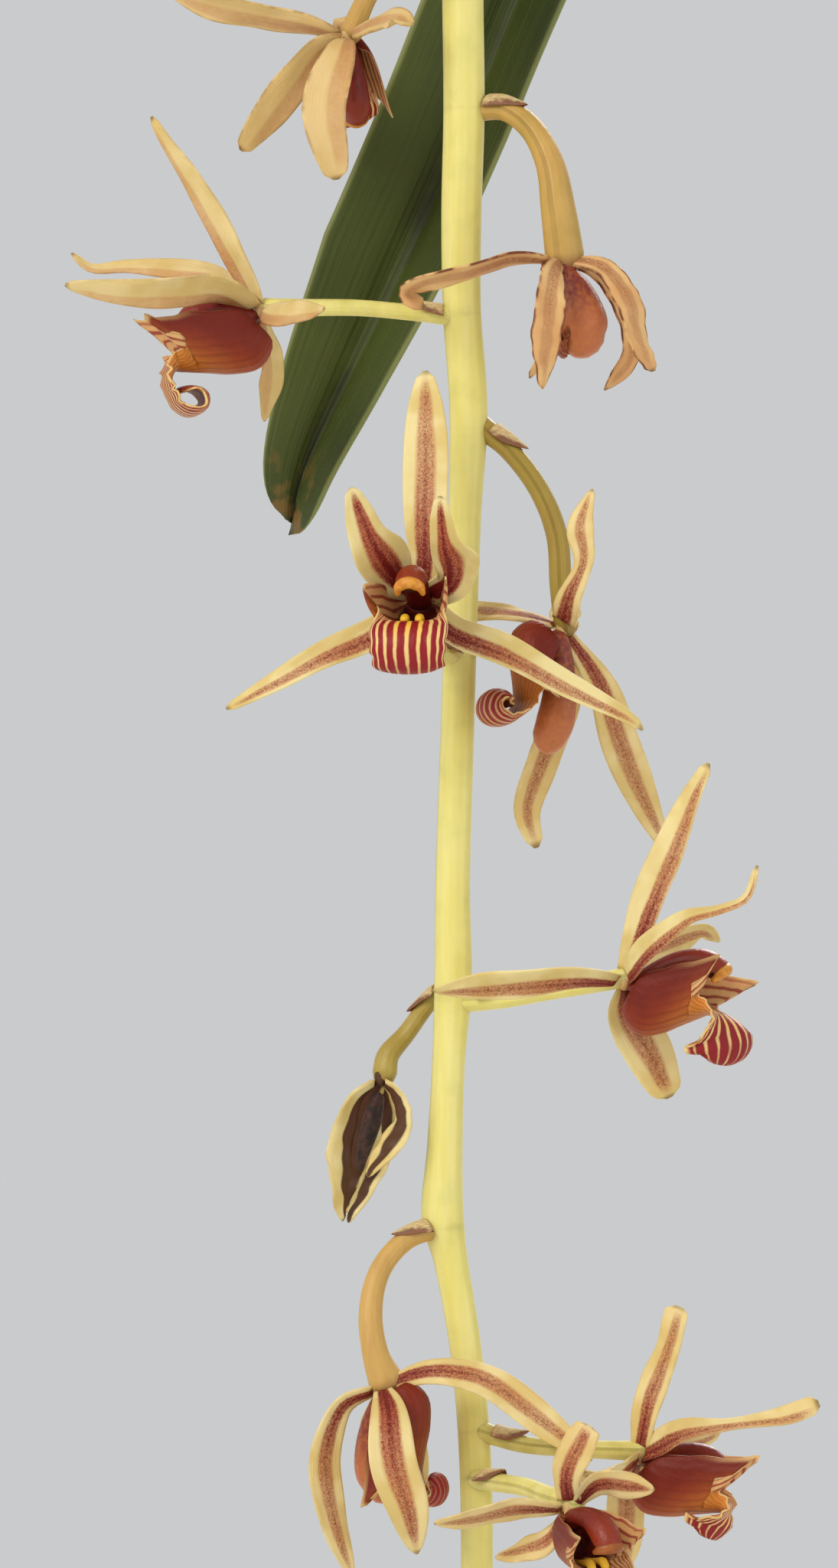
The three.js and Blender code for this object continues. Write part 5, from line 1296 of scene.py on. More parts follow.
# %% [markdown]
# ## The skins of bracts, buds and the dried lip
# The bracts are pale papery scales whose edges have dried brown. A bud is green with a maroon streak on
# each of its three sides, and the lip of the withered flower is black-brown.

# %% Bract, bud and dried finishes
def bract_finish():
    skin = Surface("bract_skin", Roughness=0.65, Subsurface_Weight=0.2, Subsurface_Scale=0.0006)
    along, across = skin.marks("along across")
    grain = skin.noise(0.6, 3.0)
    fibres = skin.noise(0.4, 2.0, where=skin.flow(across * 4, along * 2))
    painted = skin.blend(fibres.rise(0.35, 0.7), PAPER, STRAW)
    dry_edge = (abs(across) * 1.1 + along * 0.7 + (grain - 0.5) * 0.7).rise(0.85, 1.25)
    painted = skin.blend(dry_edge, painted, SCALE_BROWN)
    skin.paint(painted)
    skin.relief(grain, 0.12)
    return skin.material


def bud_finish():
    skin = Surface("bud_skin", Roughness=0.4, Subsurface_Weight=0.3, Subsurface_Scale=0.0015)
    along, around = skin.marks("along around")
    streak = (around * (BUD_STREAKS * 2 * np.pi)).cos().rise(0.2, 1.0) * along.rise(0.5, 0.9)
    fresh = skin.blend(skin.noise(1.5, 3.0), WAX, LEAF_GREEN)
    skin.paint(skin.blend((streak * skin.noise(0.5).rise(0.35, 0.6)).clear(), fresh, MAROON))
    skin.relief(skin.noise(0.7, 3.0), 0.1)
    return skin.material


def dried_finish():
    skin = Surface("dried_skin", Roughness=0.75)
    grain = skin.noise(0.8, 4.0)
    skin.paint(skin.blend(grain.rise(0.35, 0.7), colour(32, 18, 14), colour(74, 42, 30)))
    skin.relief(grain, 0.5)
    return skin.material


BRACT = bract_finish()
BUD = bud_finish()
DRIED = dried_finish()
print("finishes so far:", len(bpy.data.materials))

# %% [markdown]
# ## Bracts
# A scale clasps the foot of every flower stalk. It is a blade as a petal is, and the stalk's own line says
# where it lies: on the upper side, a little above the skin.

# %% Bracts
BRACT_PLACES = [1.0, 2.4, 4.6]
BRACT_LIFTS = [0.1, 0.16, 0.4]
BRACT_HALF_WIDTHS = [1.6, 1.6, 1.45, 1.15, 0.7, 0.15]
BRACT_THICKNESS = 0.22


def add_bract(shape, stalk, girth):
    """A scale that starts at the foot of a stalk and lies on its upper side."""
    centre, along, _ = spline(stalk, 80)
    up = unit(np.array([0, 0, 1.0]) - along * along[:, 2:3])
    reach = np.linalg.norm(centre - centre[0], axis=1)
    picks = [int(np.argmax(reach > length)) for length in BRACT_PLACES]
    line = [centre[k] + up[k] * (girth + lift) for k, lift in zip(picks, BRACT_LIFTS)]
    add_blade(shape, centre[picks[1]], thickness=BRACT_THICKNESS, line=line, width=3.2, toward=up[picks[1]],
              cup=-0.7, wave=0.05, left=BRACT_HALF_WIDTHS, rows=14, columns=11)


print("a bract is", 2 * max(BRACT_HALF_WIDTHS), "mm wide")

# %% [markdown]
# ## The flower spike
# The rachis is one line, and all the flower stalks are swept in one go. A stalk is three-ridged near its
# flower, where it is the ovary, so the stalks get ridges and the rachis hardly any. A small bract clasps
# the foot of each stalk, buds hang at the end, and a dry strand is left of the withered flower's lip.

# %% Flower spike
STALK_RADII = [1.0, 0.9, 0.95, 1.15]
BUD_PLACES = [(0.72, -1.5), (0.85, -2.4), (1.1, -4), (1.3, -6), (1.4, -7.4)]
BUD_STALK_RADII = [0.8, 0.7, 0.9]
BUD_TINT = 0.1
STRAND_RADII = [0.6, 0.9, 0.75, 0.35]
FEET = np.array([flower["stalk"][0][2] for flower in FLOWERS.values()])


def scars_at_feet(heights):
    """1 where a stalk leaves the rachis, and 0 from about 2 mm away."""
    return np.exp(-((heights[:, None] - FEET) ** 2)).max(axis=1)


rachis, stalks, buds, strand = Lines(), Lines(), Lines(), Lines()
bracts = Shape()
spike_line = PEDUNCLE + RACHIS
rachis.add([row[:3] for row in spike_line], [row[3] for row in spike_line], rows=420, scars=scars_at_feet)
for flower in FLOWERS.values():
    hub = np.array(flower["hub"], float)
    radii = flower.get("girths", STALK_RADII)
    stalks.add([*flower["stalk"], hub + 0.4], radii, tint=flower["tint"], rows=34)
    add_bract(bracts, [*flower["stalk"], hub], radii[0])
for bud in BUDS:
    size, radius = bud["length"], bud["radius"]
    places = [(0.2, 0), (size * 0.45, -0.5), (size * 0.75, -1.6)]
    line = beside(rachis_at(bud["z"]), bud["angle"], *places)
    stalks.add(line, BUD_STALK_RADII, tint=BUD_TINT, rows=14)
    places = [(size * share, rise) for share, rise in BUD_PLACES]
    line = beside(rachis_at(bud["z"]), bud["angle"], *places)
    buds.add(line, [0.85, radius * 0.75, radius, radius * 0.7, 0.35], rows=16)
strand.add(FLOWERS["10"]["strand"], STRAND_RADII, rows=20)


spike_pieces = [
    rachis.sweep("flower_spike_rachis", STEM, sides=28, ridges=5.0, depth=0.025),
    stalks.sweep("flower_spike_stalks", STEM, sides=18, ridges=3.0, depth=0.025),
    object_of(bracts, "flower_spike_bracts", BRACT),
    buds.sweep("flower_spike_buds", BUD, sides=18, ridges=3.0, depth=0.05),
]
for piece in spike_pieces:
    hand_in(piece, "spike", "flower_spike")
dried = strand.sweep("flower_10_dried_lip", DRIED, sides=12, ridges=3.0, depth=0.2)
hand_in(dried, "dried", "flower_10_lip_column")

# %% [markdown]
# ## Leaves
# A strap leaf is tough like leather: satin above, with fine veins along it and a darker line over the
# midrib, and paler below. The veins run along the leaf however it bends, so their noise reads the places
# across and along it, not places in space.

# %% Leaf finish
LEAF_DARK = colour(50, 60, 20)
LEAF_MID = colour(80, 90, 34)
LEAF_BACK = colour(120, 126, 66)
LEAF_EDGE = colour(140, 146, 88)


def leaf_finish():
    skin = Surface("leaf_skin", Roughness=0.5, Specular_IOR_Level=0.3, Subsurface_Weight=0.08,
                   Subsurface_Scale=0.001)
    across, along, side = skin.marks("across along side")
    off = abs(across)
    veins = skin.noise(1.4, 2.0, where=skin.flow(across * 30, along * 12))
    cloud = skin.noise(26.0, 3.0)
    face = skin.blend((veins * 0.2 + cloud * 0.85).rise(0.3, 0.8), LEAF_DARK, LEAF_MID)
    back = skin.blend((veins * 0.25 + cloud * 0.8).rise(0.3, 0.8), LEAF_MID, LEAF_BACK)
    painted = skin.blend(side, back, face)
    painted = skin.blend(off.rise(0.05, 0.0) * 0.75, painted, skin.blend(side, LEAF_BACK, LEAF_DARK))
    painted = skin.blend(off.rise(0.93, 1.0) * 0.7, painted, LEAF_EDGE)
    # Darker in cloudy patches along the midrib.
    dark_midrib_patches = skin.noise(11.0, 4.0).rise(0.5, 0.64) * off.rise(0.4, 0.04)
    painted = skin.blend(dark_midrib_patches * 0.7, painted, colour(40, 40, 18))
    worn = skin.noise(2.5, 4.0).rise(0.5, 0.65) * along.rise(0.975, 1.0)
    painted = skin.blend(worn * 0.5, painted, OCHRE)
    skin.paint(painted, (veins * 0.2 + 0.4).clear())
    skin.relief(veins, 0.12)
    return skin.material


LEAF = leaf_finish()
print("leaf finish has", len(LEAF.node_tree.nodes), "nodes")

# %% [markdown]
# ## Where the leaves run
# A strap leaf is folded in a V at its foot and opens out further up, and its tip is blunt and notched.
# The leaf behind the flowers is drawn through the points that its midrib passes. The others arch out of
# their own pseudobulb: each starts near upright and leans further along its length, by one rule with its
# own numbers, which is quicker than to draw eleven lines.

# %% Leaf tables
POT_RIM_Z = -300.0
BARK_Z = POT_RIM_Z - 13
BULB_SUNK = 22
BULBS = {
    "front": {"at": (12, -26), "radius": 16, "height": 70, "lean": (3, -3), "roots": (215, 20)},
    "left": {"at": (-26, 8), "radius": 17, "height": 76, "lean": (-4, 2), "roots": (100, 240)},
    "back": {"at": (20, 28), "radius": 16, "height": 72, "lean": (3, 4), "roots": (150, 200)},
}
LEAVES = {
    "front_left": {"bulb": "front", "angle": 222, "length": 380, "start": 22, "end": 150},
    "front_right": {"bulb": "front", "angle": 23, "length": 400, "start": 24, "end": 132},
    "front_tall": {"bulb": "front", "angle": 285, "length": 330, "start": 6, "end": 96},
    "left_low": {"bulb": "left", "angle": 182, "length": 410, "start": 30, "end": 140},
    "left_back": {"bulb": "left", "angle": 150, "length": 390, "start": 18, "end": 118},
    "left_side": {"bulb": "left", "angle": 232, "length": 350, "start": 34, "end": 158},
    "left_tall": {"bulb": "left", "angle": 120, "length": 320, "start": 6, "end": 88},
    "back_right": {"bulb": "back", "angle": 40, "length": 400, "start": 28, "end": 136},
    "back_low": {"bulb": "back", "angle": 112, "length": 390, "start": 30, "end": 148},
    "back_mid": {"bulb": "back", "angle": 64, "length": 410, "start": 16, "end": 120},
    "back_tall": {"bulb": "back", "angle": 84, "length": 310, "start": 4, "end": 80},
}
SEEN_LEAF = [
    (18.5, -36, -286), (21.5, -42, -262), (29, -54, -228), (43, -68, -212), (57, -77, -236),
    (58, -80, -290), (50, -79, -350), (31, -77, -410), (6.5, -75, -467), (1.0, -75, -480.5),
    (-5.9, -75, -496), (-11, -75, -506.4), (-15, -75, -515), (-16.6, -75, -520.6),
]
print("leaves from the bulbs:", len(LEAVES))

# %% [markdown]
# ## The shape of a leaf
# A leaf is a sheet along its midrib. Its two halves tilt up from the midrib by their own angles, so the
# fold and its opening are two numbers, and not a matter of pushing points about.

# %% Leaves
LEAF_ROWS, LEAF_COLUMNS = 100, 15
LEAF_WIDTH = 21.0
LEAF_THICKNESS = 1.7
LEAF_PIECES = 10
LEAF_SAMPLES = 600
GROOVE_DEPTH, GROOVE_WIDTH = 0.55, 0.07
NOTCH_DEPTH, NOTCH_WIDTH = 0.8, 0.12
LEAF_FOOT = 14


def leaf_line(bulb, angle, length, start, end):
    """The midrib of a leaf that leans `start` degrees from upright at its foot and `end` at its tip."""
    side = outward(angle)
    foot = np.add(bulb["at"], bulb["lean"])
    point = np.array([*foot, BARK_Z - BULB_SUNK + bulb["height"] - LEAF_FOOT])
    point = point + side * bulb["radius"] * 0.32 * (start / 20)
    line = [point - (0, 0, LEAF_FOOT) - side * 2, point]
    step = length / LEAF_PIECES
    for i in range(LEAF_PIECES):
        slope = np.radians(mix(start, end, ((i + 0.5) / LEAF_PIECES) ** 1.25))
        point = point + side * step * np.sin(slope) + (0, 0, step * np.cos(slope))
        line.append(point)
    return line


def leaf_shape(line, foot_side, tip_side, width, folds, tip_folds, phase):
    """A leaf whose left and right halves rise from the midrib by `folds` degrees, by others at its tip."""
    t = 1 - (1 - np.linspace(0, 1, LEAF_ROWS)) ** 1.7
    even, along, _ = spline(line, LEAF_SAMPLES)
    given = np.linspace(0, 1, LEAF_SAMPLES)
    centre = np.stack([np.interp(t, given, even[:, k]) for k in range(3)], axis=1)
    along = unit(np.stack([np.interp(t, given, along[:, k]) for k in range(3)], axis=1))
    t = t[:, None]
    v = np.sin(np.linspace(-1, 1, LEAF_COLUMNS) * np.pi / 2)[None, :]
    turned = np.clip((t - 0.2) / 0.35, 0, 1)
    side = mix(np.array(foot_side, float), np.array(tip_side, float), turned)
    side = unit(side - along * np.sum(side * along, axis=1, keepdims=True))
    normal = np.cross(along, side)
    length = np.linalg.norm(np.diff(centre, axis=0), axis=1).sum()
    widening, narrowing = np.clip(t / 0.4, 0, 1), np.clip((t - 0.75) / 0.25, 0, 1)
    half = width / 2 * mix(0.55, 1, widening) * mix(1, 0.86, narrowing)
    from_tip = (1 - t) * length
    round_end = np.clip(from_tip / (1.4 * width), 0, 1) ** np.where(v < 0, 0.36, 0.26)
    foot_tilt, tip_tilt = (np.where(v < 0, *pair) for pair in (folds, tip_folds))
    tilt = np.radians(mix(foot_tilt, tip_tilt, np.clip(t / 0.5, 0, 1)))
    reach = np.abs(v) * half * round_end
    ripple = 0.5 * np.sin(t * length / 17 + phase + np.sign(v)) * np.abs(v) ** 2
    groove = -GROOVE_DEPTH * np.exp(-((v / GROOVE_WIDTH) ** 2))
    out = np.sign(v) * reach * np.cos(tilt)
    up = reach * np.sin(tilt) + ripple + groove
    notch = NOTCH_DEPTH * np.exp(-((v / NOTCH_WIDTH) ** 2)) * (t > 0.995)
    back = notch - 0.05 * v * (1 - round_end) * width
    grid = centre[:, None] + side[:, None] * out[..., None] + normal[:, None] * up[..., None]
    grid = grid - along[:, None] * back[..., None]
    thickness = LEAF_THICKNESS * np.sqrt(1 - 0.9 * v**2) * mix(1, 0.75, t) * np.clip(from_tip / 3, 0.25, 1)
    shape = Shape()
    add_sheet(shape, grid, thickness, v, t)
    return shape


for number, (name, row) in enumerate(LEAVES.items()):
    level = outward(row["angle"] + 90)
    line = leaf_line(**{**row, "bulb": BULBS[row["bulb"]]})
    shape = leaf_shape(line, level, level, LEAF_WIDTH, (30, 30), (8, 8), 1.3 * number)
    hand_in(object_of(shape, f"leaf_{name}_blade", LEAF, origin=0), "leaf", f"leaf_{name}")

seen = leaf_shape(SEEN_LEAF, (0.74, 0.67, 0), (0.95, 0, 0.3), 19.6, (26, 26), (16, 62), 0.4)
hand_in(object_of(seen, "leaf_photographed_blade", LEAF, origin=0), "leaf", "leaf_photographed")
print("leaves:", len(LEAVES) + 1)

# %% [markdown]
# ## The skins of pseudobulbs, sheaths and roots
# Fibres run up a pseudobulb and its dry sheaths, so their noise is stretched along z. Roots are cloudy
# white with a green tip.

# %% Bulb finishes
def bulb_finish():
    skin = Surface("bulb_skin", Roughness=0.5, Subsurface_Weight=0.1, Subsurface_Scale=0.003)
    fibres = skin.noise(2.4, 4.0, stretch=(1, 1, 0.08))
    cloud = skin.noise(14.0, 3.0)
    green = skin.blend(cloud.rise(0.3, 0.7), colour(112, 128, 66), colour(150, 156, 92))
    dry = skin.blend(fibres, colour(176, 150, 104), colour(122, 94, 62))
    skin.paint(skin.blend((fibres + skin.mark("tint") - 0.35).rise(0.3, 0.65), green, dry))
    skin.relief(fibres + skin.noise(1.0, 3.0) * 0.4, 0.5)
    return skin.material


def sheath_finish():
    skin = Surface("sheath_skin", Roughness=0.7)
    along, across = skin.marks("along across")
    fibres = skin.noise(1.8, 3.0, stretch=(1, 1, 0.06))
    dry = skin.blend(fibres.rise(0.3, 0.75), colour(196, 170, 122), colour(134, 100, 66))
    green = skin.blend(fibres, colour(120, 134, 72), colour(160, 164, 104))
    fresh = (along.rise(0.95, 0.3) * abs(across).rise(0.9, 0.5) + (fibres - 0.5) * 0.5).clear()
    skin.paint(skin.blend(fresh, dry, green))
    skin.relief(fibres, 0.4)
    return skin.material


def root_finish():
    skin = Surface("root_skin", Roughness=0.8, Subsurface_Weight=0.15, Subsurface_Scale=0.001)
    cloud = skin.noise(2.0, 4.0)
    white = skin.blend(cloud.rise(0.35, 0.75), colour(222, 218, 200), colour(176, 168, 140))
    skin.paint(skin.blend(skin.mark("along").rise(0.86, 0.97), white, colour(146, 168, 84)))
    skin.relief(cloud, 0.3)
    return skin.material


BULB = bulb_finish()
SHEATH = sheath_finish()
ROOT = root_finish()
print("bulb finish has", len(BULB.node_tree.nodes), "nodes")

# %% [markdown]
# ## Pseudobulbs, sheaths and roots
# A pseudobulb is a swollen stem that stores water. It is egg-shaped with ridges, so the stem tree makes
# it too, from a line with a large radius. The dry feet of old leaves clasp it, which are bent sheets, and
# thick roots with a white spongy skin run from it over the bark.

# %% Pseudobulbs
BULB_OUTLINE = [0.35, 0.85, 1.0, 0.97, 0.93, 0.8, 0.72, 0.5, 0.3]
ROOT_RADII = [2.1, 1.9, 1.7, 1.2]
SHEATH_START = 0.2
SHEATH_THICKNESS = 0.5


def bulb_line(bulb):
    x, y = bulb["at"]
    t = np.linspace(0, 1, len(BULB_OUTLINE))[:, None]
    lean = np.array([*bulb["lean"], 0.0])
    return np.array([x, y, BARK_Z - BULB_SUNK]) + lean * t**2 + [0, 0, bulb["height"]] * t


def add_sheath(shape, bulb, angle, spread, top, phase):
    """A dry leaf foot that clasps a pseudobulb up to the share `top` of its height and ends in a point."""
    rows, columns = 26, 15
    line = bulb_line(bulb)
    t = np.linspace(SHEATH_START, top, rows)[:, None]
    v = np.linspace(-1, 1, columns)[None, :]
    share = (t - SHEATH_START) / (top - SHEATH_START)
    station = (t * (len(line) - 1))[:, 0]
    centre = smooth(line, station)[:, None]
    radius = smooth(BULB_OUTLINE, station)[:, None] * bulb["radius"]
    open_angle = np.radians(angle + v * spread * (1 - share**2.6) ** 0.8)
    reach = radius + 1.1 + 0.5 * np.sin(v * 5 + t * 16 + phase) + 2.4 * share**3
    ring = np.stack([np.cos(open_angle), np.sin(open_angle), 0 * open_angle], axis=-1)
    grid = centre + ring * reach[..., None]
    grid[..., 2] += 4 * (1 - np.abs(v)) * share
    add_sheet(shape, grid, SHEATH_THICKNESS, v, share)


for number, (name, bulb) in enumerate(BULBS.items()):
    name, radius = f"pseudobulb_{name}", bulb["radius"]
    body, roots, sheaths = Lines(), Lines(), Shape()
    body.add(bulb_line(bulb), np.array(BULB_OUTLINE) * radius, tint=0.1, rows=40)
    add_sheath(sheaths, bulb, 40 + 100 * number, 95, 0.78, 0)
    add_sheath(sheaths, bulb, 210 + 100 * number, 90, 0.92, 2)
    for angle in bulb["roots"]:
        places = [(radius * 0.5, 4), (radius + 3, 4.4), (radius + 9, 2), (radius + 14, -7)]
        roots.add(beside([*bulb["at"], BARK_Z], angle, *places), ROOT_RADII)
    for piece in (body.sweep(f"{name}_body", BULB, sides=72, ridges=9.0, depth=0.022, origin=0),
                  object_of(sheaths, f"{name}_sheaths", SHEATH, origin=0),
                  roots.sweep(f"{name}_roots", ROOT, sides=16, origin=0)):
        hand_in(piece, "bulb", name)
print("pseudobulbs:", len(BULBS))

# %% [markdown]
# ## The clay pot
# The pot is of thrown and fired clay. Its colour drifts over the wall, lime and moss have bloomed on it,
# and faint rings are left from the wheel, which are noise squeezed along z.

# %% Clay finish
def clay_finish():
    skin = Surface("clay", Roughness=0.85)
    cloud = skin.noise(38.0, 4.0)
    grain = skin.noise(0.9, 3.0)
    tones = (cloud * 0.7 + grain * 0.3).rise(0.35, 0.7)
    body = skin.blend(tones, colour(176, 96, 62), colour(204, 128, 90))
    bloom = skin.noise(22.0, 5.0, stretch=(1, 1, 0.6), rough=0.65).rise(0.52, 0.75)
    body = skin.blend(bloom * 0.6, body, colour(218, 192, 168))
    moss = skin.noise(11.0, 5.0).rise(0.6, 0.75) * skin.noise(60.0).rise(0.5, 0.62)
    body = skin.blend(moss * 0.5, body, colour(112, 112, 66))
    specks = skin.cells(2.6).rise(0.2, 0.1)
    skin.paint(skin.blend(specks * 0.35, body, colour(112, 62, 42)), (grain * 0.15 + 0.78).clear())
    rings = skin.noise(3.2, 2.0, stretch=(0.02, 0.02, 1))
    skin.relief(grain * 0.6 + rings * 0.8, 0.25)
    return skin.material


CLAY = clay_finish()
print("clay finish has", len(CLAY.node_tree.nodes), "nodes")

# %% [markdown]
# ## Turning the pot
# A Screw modifier could turn the pot's outline round the middle. A few lines of Python do the same and
# leave the seam closed. The drain hole is part of the outline. The three holes for the wires are cut
# afterwards by a Boolean modifier, as with a drill.

# %% Clay pot
RIM_RADIUS, POT_HEIGHT, COLLAR_HEIGHT, COLLAR_STEP = 70.0, 115.0, 24.0, 5.5
BASE_RADIUS, WALL, FLOOR, DRAIN_RADIUS = 46.0, 6.5, 9.0, 8.0
POT_SIDES = 128
POT_BASE_Z = POT_RIM_Z - POT_HEIGHT
INSIDE_TOP, INSIDE_BASE = RIM_RADIUS - WALL - 1.5, BASE_RADIUS - WALL


def rounded(outline, radii, steps=5):
    """A closed outline with its corners rounded off, each by its own radius."""
    outline = np.array(outline, float)
    result = []
    neighbours = np.roll(outline, 1, 0), np.roll(outline, -1, 0)
    for before, after, corner, radius in zip(*neighbours, outline, radii):
        if radius == 0:
            result.append(corner)
            continue
        start, end = corner + unit(before - corner) * radius, corner + unit(after - corner) * radius
        for t in np.linspace(0, 1, steps):
            result.append(start * (1 - t) ** 2 + corner * 2 * t * (1 - t) + end * t**2)
    return np.array(result)


def turned(outline, sides):
    """A body turned round the z axis from a closed outline of (radius, height) points."""
    angle = np.linspace(0, 2 * np.pi, sides, endpoint=False)
    ring = np.stack([np.cos(angle), np.sin(angle)], axis=1)
    points = np.concatenate([np.column_stack([ring * r, np.full(sides, z)]) for r, z in outline])
    faces = []
    for i in range(len(outline)):
        faces += ring_faces(i * sides, (i + 1) % len(outline) * sides, sides)
    shape = Shape()
    shape.add(points, faces)
    return shape


pot_outline = rounded([
    (DRAIN_RADIUS, POT_BASE_Z), (BASE_RADIUS, POT_BASE_Z),
    (RIM_RADIUS - COLLAR_STEP, POT_RIM_Z - COLLAR_HEIGHT - 0.5), (RIM_RADIUS, POT_RIM_Z - COLLAR_HEIGHT),
    (RIM_RADIUS, POT_RIM_Z), (INSIDE_TOP, POT_RIM_Z), (INSIDE_BASE, POT_BASE_Z + FLOOR),
    (DRAIN_RADIUS, POT_BASE_Z + FLOOR),
], [1.2, 1.5, 1.2, 1.8, 2.4, 2.0, 3.0, 1.2])
pot = object_of(turned(pot_outline, POT_SIDES), "pot_clay", CLAY, origin=0)

WIRE_RADIUS, HOLE_RADIUS = 1.1, 2.4
WIRE_Z = POT_RIM_Z - 8
WIRE_ANGLES = [90, 210, 330]
HOLE_Z = WIRE_Z - (HOLE_RADIUS - WIRE_RADIUS - 0.1)
bits = Shape()
for angle in WIRE_ANGLES:
    points, faces, _ = tube(beside((0, 0, HOLE_Z), angle, (45, 0), (90, 0)), [HOLE_RADIUS] * 2, sides=24)
    bits.add(points, faces)
drill = object_of(bits, "drill", origin=0)
cut = pot.modifiers.new("holes", "BOOLEAN")
cut.operation = "DIFFERENCE"
cut.solver = "EXACT"
cut.object = drill
bake(pot)
bpy.data.objects.remove(drill)
hand_in(pot, "clay", "pot")
print("pot faces:", len(pot.data.polygons))

# %% [markdown]
# ## Potting bark
# The pot is filled with pieces of pine bark. To place hundreds of chips by hand would take a day, and a
# bump in the material would look flat from the side. So Geometry Nodes scatter a few kinds of chip over a
# bed, at random but from a fixed seed, so that the pot looks the same every time. The finish comes first.

# %% Bark finish
def bark_finish():
    skin = Surface("bark", Roughness=0.95)
    grain = skin.noise(2.2, 5.0, rough=0.65)
    cloud = skin.noise(16.0, 2.0)
    tones = skin.blend(grain.rise(0.3, 0.7), colour(84, 52, 36), colour(142, 98, 66))
    skin.paint(skin.blend(cloud.rise(0.4, 0.65) * 0.6, tones, colour(112, 84, 64)))
    skin.relief(grain, 1.2)
    return skin.material


BARK = bark_finish()
print("bark finish has", len(BARK.node_tree.nodes), "nodes")

# %% [markdown]
# ## The filling and its chips
# The bed is a plug that fills the pot, with a bumpy top. A chip is a cube with its corners knocked off and
# its sides made uneven, and four kinds of chip are enough, because each is turned and sized at random.

# %% Bed and chips
BARK_FLOOR = POT_BASE_Z + FLOOR + 0.3
CHIP_KINDS = 4
CHIP_SIZES = [(7, 9), (4.5, 6), (2, 2.8)]
WELD_DISTANCE = 0.00001
CHIP_DENSITY, CHIP_DISTANCE = 14000.0, 0.0085
rng = np.random.default_rng(7)


def inside_at(z):
    """The radius inside the pot at a height."""
    return mix(INSIDE_TOP, INSIDE_BASE, (POT_RIM_Z - 1.5 - z) / (POT_HEIGHT - FLOOR - 1.5))


def bark_bed():
    """The filling: a plug whose top is a bumpy disc."""
    sides, rings = 72, 22
    angle = np.linspace(0, 2 * np.pi, sides, endpoint=False)
    spokes = np.stack([np.cos(angle), np.sin(angle)], axis=1)
    radii = np.linspace(0, inside_at(BARK_Z) - 1.0, rings + 1)[1:]
    rows = [(radius, BARK_Z - 1.5) for radius in radii] + [(inside_at(BARK_FLOOR) - 1.0, BARK_FLOOR)]
    points = [(0, 0, BARK_Z - 1.5)]
    for radius, z in rows:
        bump = 1.0 * np.sin(3 * angle + radius) * np.cos(radius / 3) if z > BARK_FLOOR else 0 * angle
        points.extend(np.column_stack([spokes * radius, z + bump]))
    points.append((0, 0, BARK_FLOOR))
    last = len(points) - 1
    faces = fan_faces(0, 1, sides)
    for low in range(1, last - sides, sides):
        faces += turned_over(ring_faces(low, low + sides, sides))
    faces += turned_over(fan_faces(last, last - sides, sides))
    shape = Shape()
    shape.add(np.array(points, float), faces)
    return object_of(shape, "potting_bark_bed", BARK, origin=0)


def chip(name):
    """An uneven block of bark about 16 mm long, with its corners knocked off."""
    steps = 5
    line = np.linspace(-1, 1, steps)
    shape = Shape()
    size = np.array([rng.uniform(low, high) for low, high in CHIP_SIZES])
    seed = rng.uniform(0, 9, 3)
    for axis in range(3):
        for sign in (-1, 1):
            u, v = np.meshgrid(line, line, indexing="ij")
            flat = np.stack([np.full_like(u, sign), u, v], axis=-1).reshape(-1, 3)
            flat = np.roll(flat, axis, axis=1)
            round_off = flat * (1 - 0.16 * (np.sum(flat**2, axis=1, keepdims=True) - 1))
            lumps = 0.12 * np.sin(round_off[:, [1, 2, 0]] * 3.1 + seed)
            faces = []
            for i in range(steps - 1):
                for j in range(steps - 1):
                    a = i * steps + j
                    quad = (a, a + steps, a + steps + 1, a + 1)
                    faces.append(quad if sign > 0 else quad[::-1])
            shape.add((round_off + lumps) * size, faces)
    thing = object_of(shape, name, BARK, origin=0)
    weld = thing.modifiers.new("weld", "WELD")
    weld.merge_threshold = WELD_DISTANCE
    return bake(thing)


bed = bark_bed()
print("the bed has", len(bed.data.polygons), "faces")

# %% [markdown]
# ## Scattering the chips
# The tree picks the faces of the bed that look up, spreads points on them with a least distance, and puts
# a chip on each.

# %% Scatter
def scatter_tree(chips):
    """Scatters chips over the upward faces of what it is given."""
    inputs = {"Density": "Float", "Least distance": "Float", "Seed": "Int"}
    tree, given, sockets = new_tree("scatter", inputs)
    normal = add_node(tree, "GeometryNodeInputNormal").outputs[0]
    height = add_node(tree, "ShaderNodeSeparateXYZ", Vector=normal).outputs["Z"]
    top = add_node(tree, "FunctionNodeCompare", {"operation": "GREATER_THAN"}, A=height, B=0.5)
    spread = add_node(tree, "GeometryNodeDistributePointsOnFaces", {"distribute_method": "POISSON"},
                      Mesh=given["Geometry"], Selection=top.outputs[0], Density_Max=given["Density"],
                      Distance_Min=given["Least distance"], Seed=given["Seed"])
    turn = add_node(tree, "FunctionNodeRandomValue", {"data_type": "FLOAT_VECTOR"},
                    Min=(-0.5, -0.5, 0.0), Max=(0.5, 0.5, 2 * np.pi), Seed=3)
    size = add_node(tree, "FunctionNodeRandomValue", {"data_type": "FLOAT"},
                    Min_001=0.55, Max_001=1.05, Seed=4)
    pick = add_node(tree, "FunctionNodeRandomValue", {"data_type": "INT"},
                    Min_002=0, Max_002=CHIP_KINDS - 1, Seed=5)
    source = add_node(tree, "GeometryNodeCollectionInfo", Collection=chips, Separate_Children=True)
    place = add_node(tree, "GeometryNodeInstanceOnPoints", Points=spread.outputs["Points"],
                     Instance=source.outputs[0], Pick_Instance=True, Instance_Index=pick.outputs[2],
                     Rotation=turn.outputs[0], Scale=size.outputs[1])
    both = add_node(tree, "GeometryNodeJoinGeometry", Geometry=place.outputs[0])
    tree.links.new(given["Geometry"], both.inputs[0])
    end_tree(tree, both.outputs[0], BARK)
    return tree, sockets


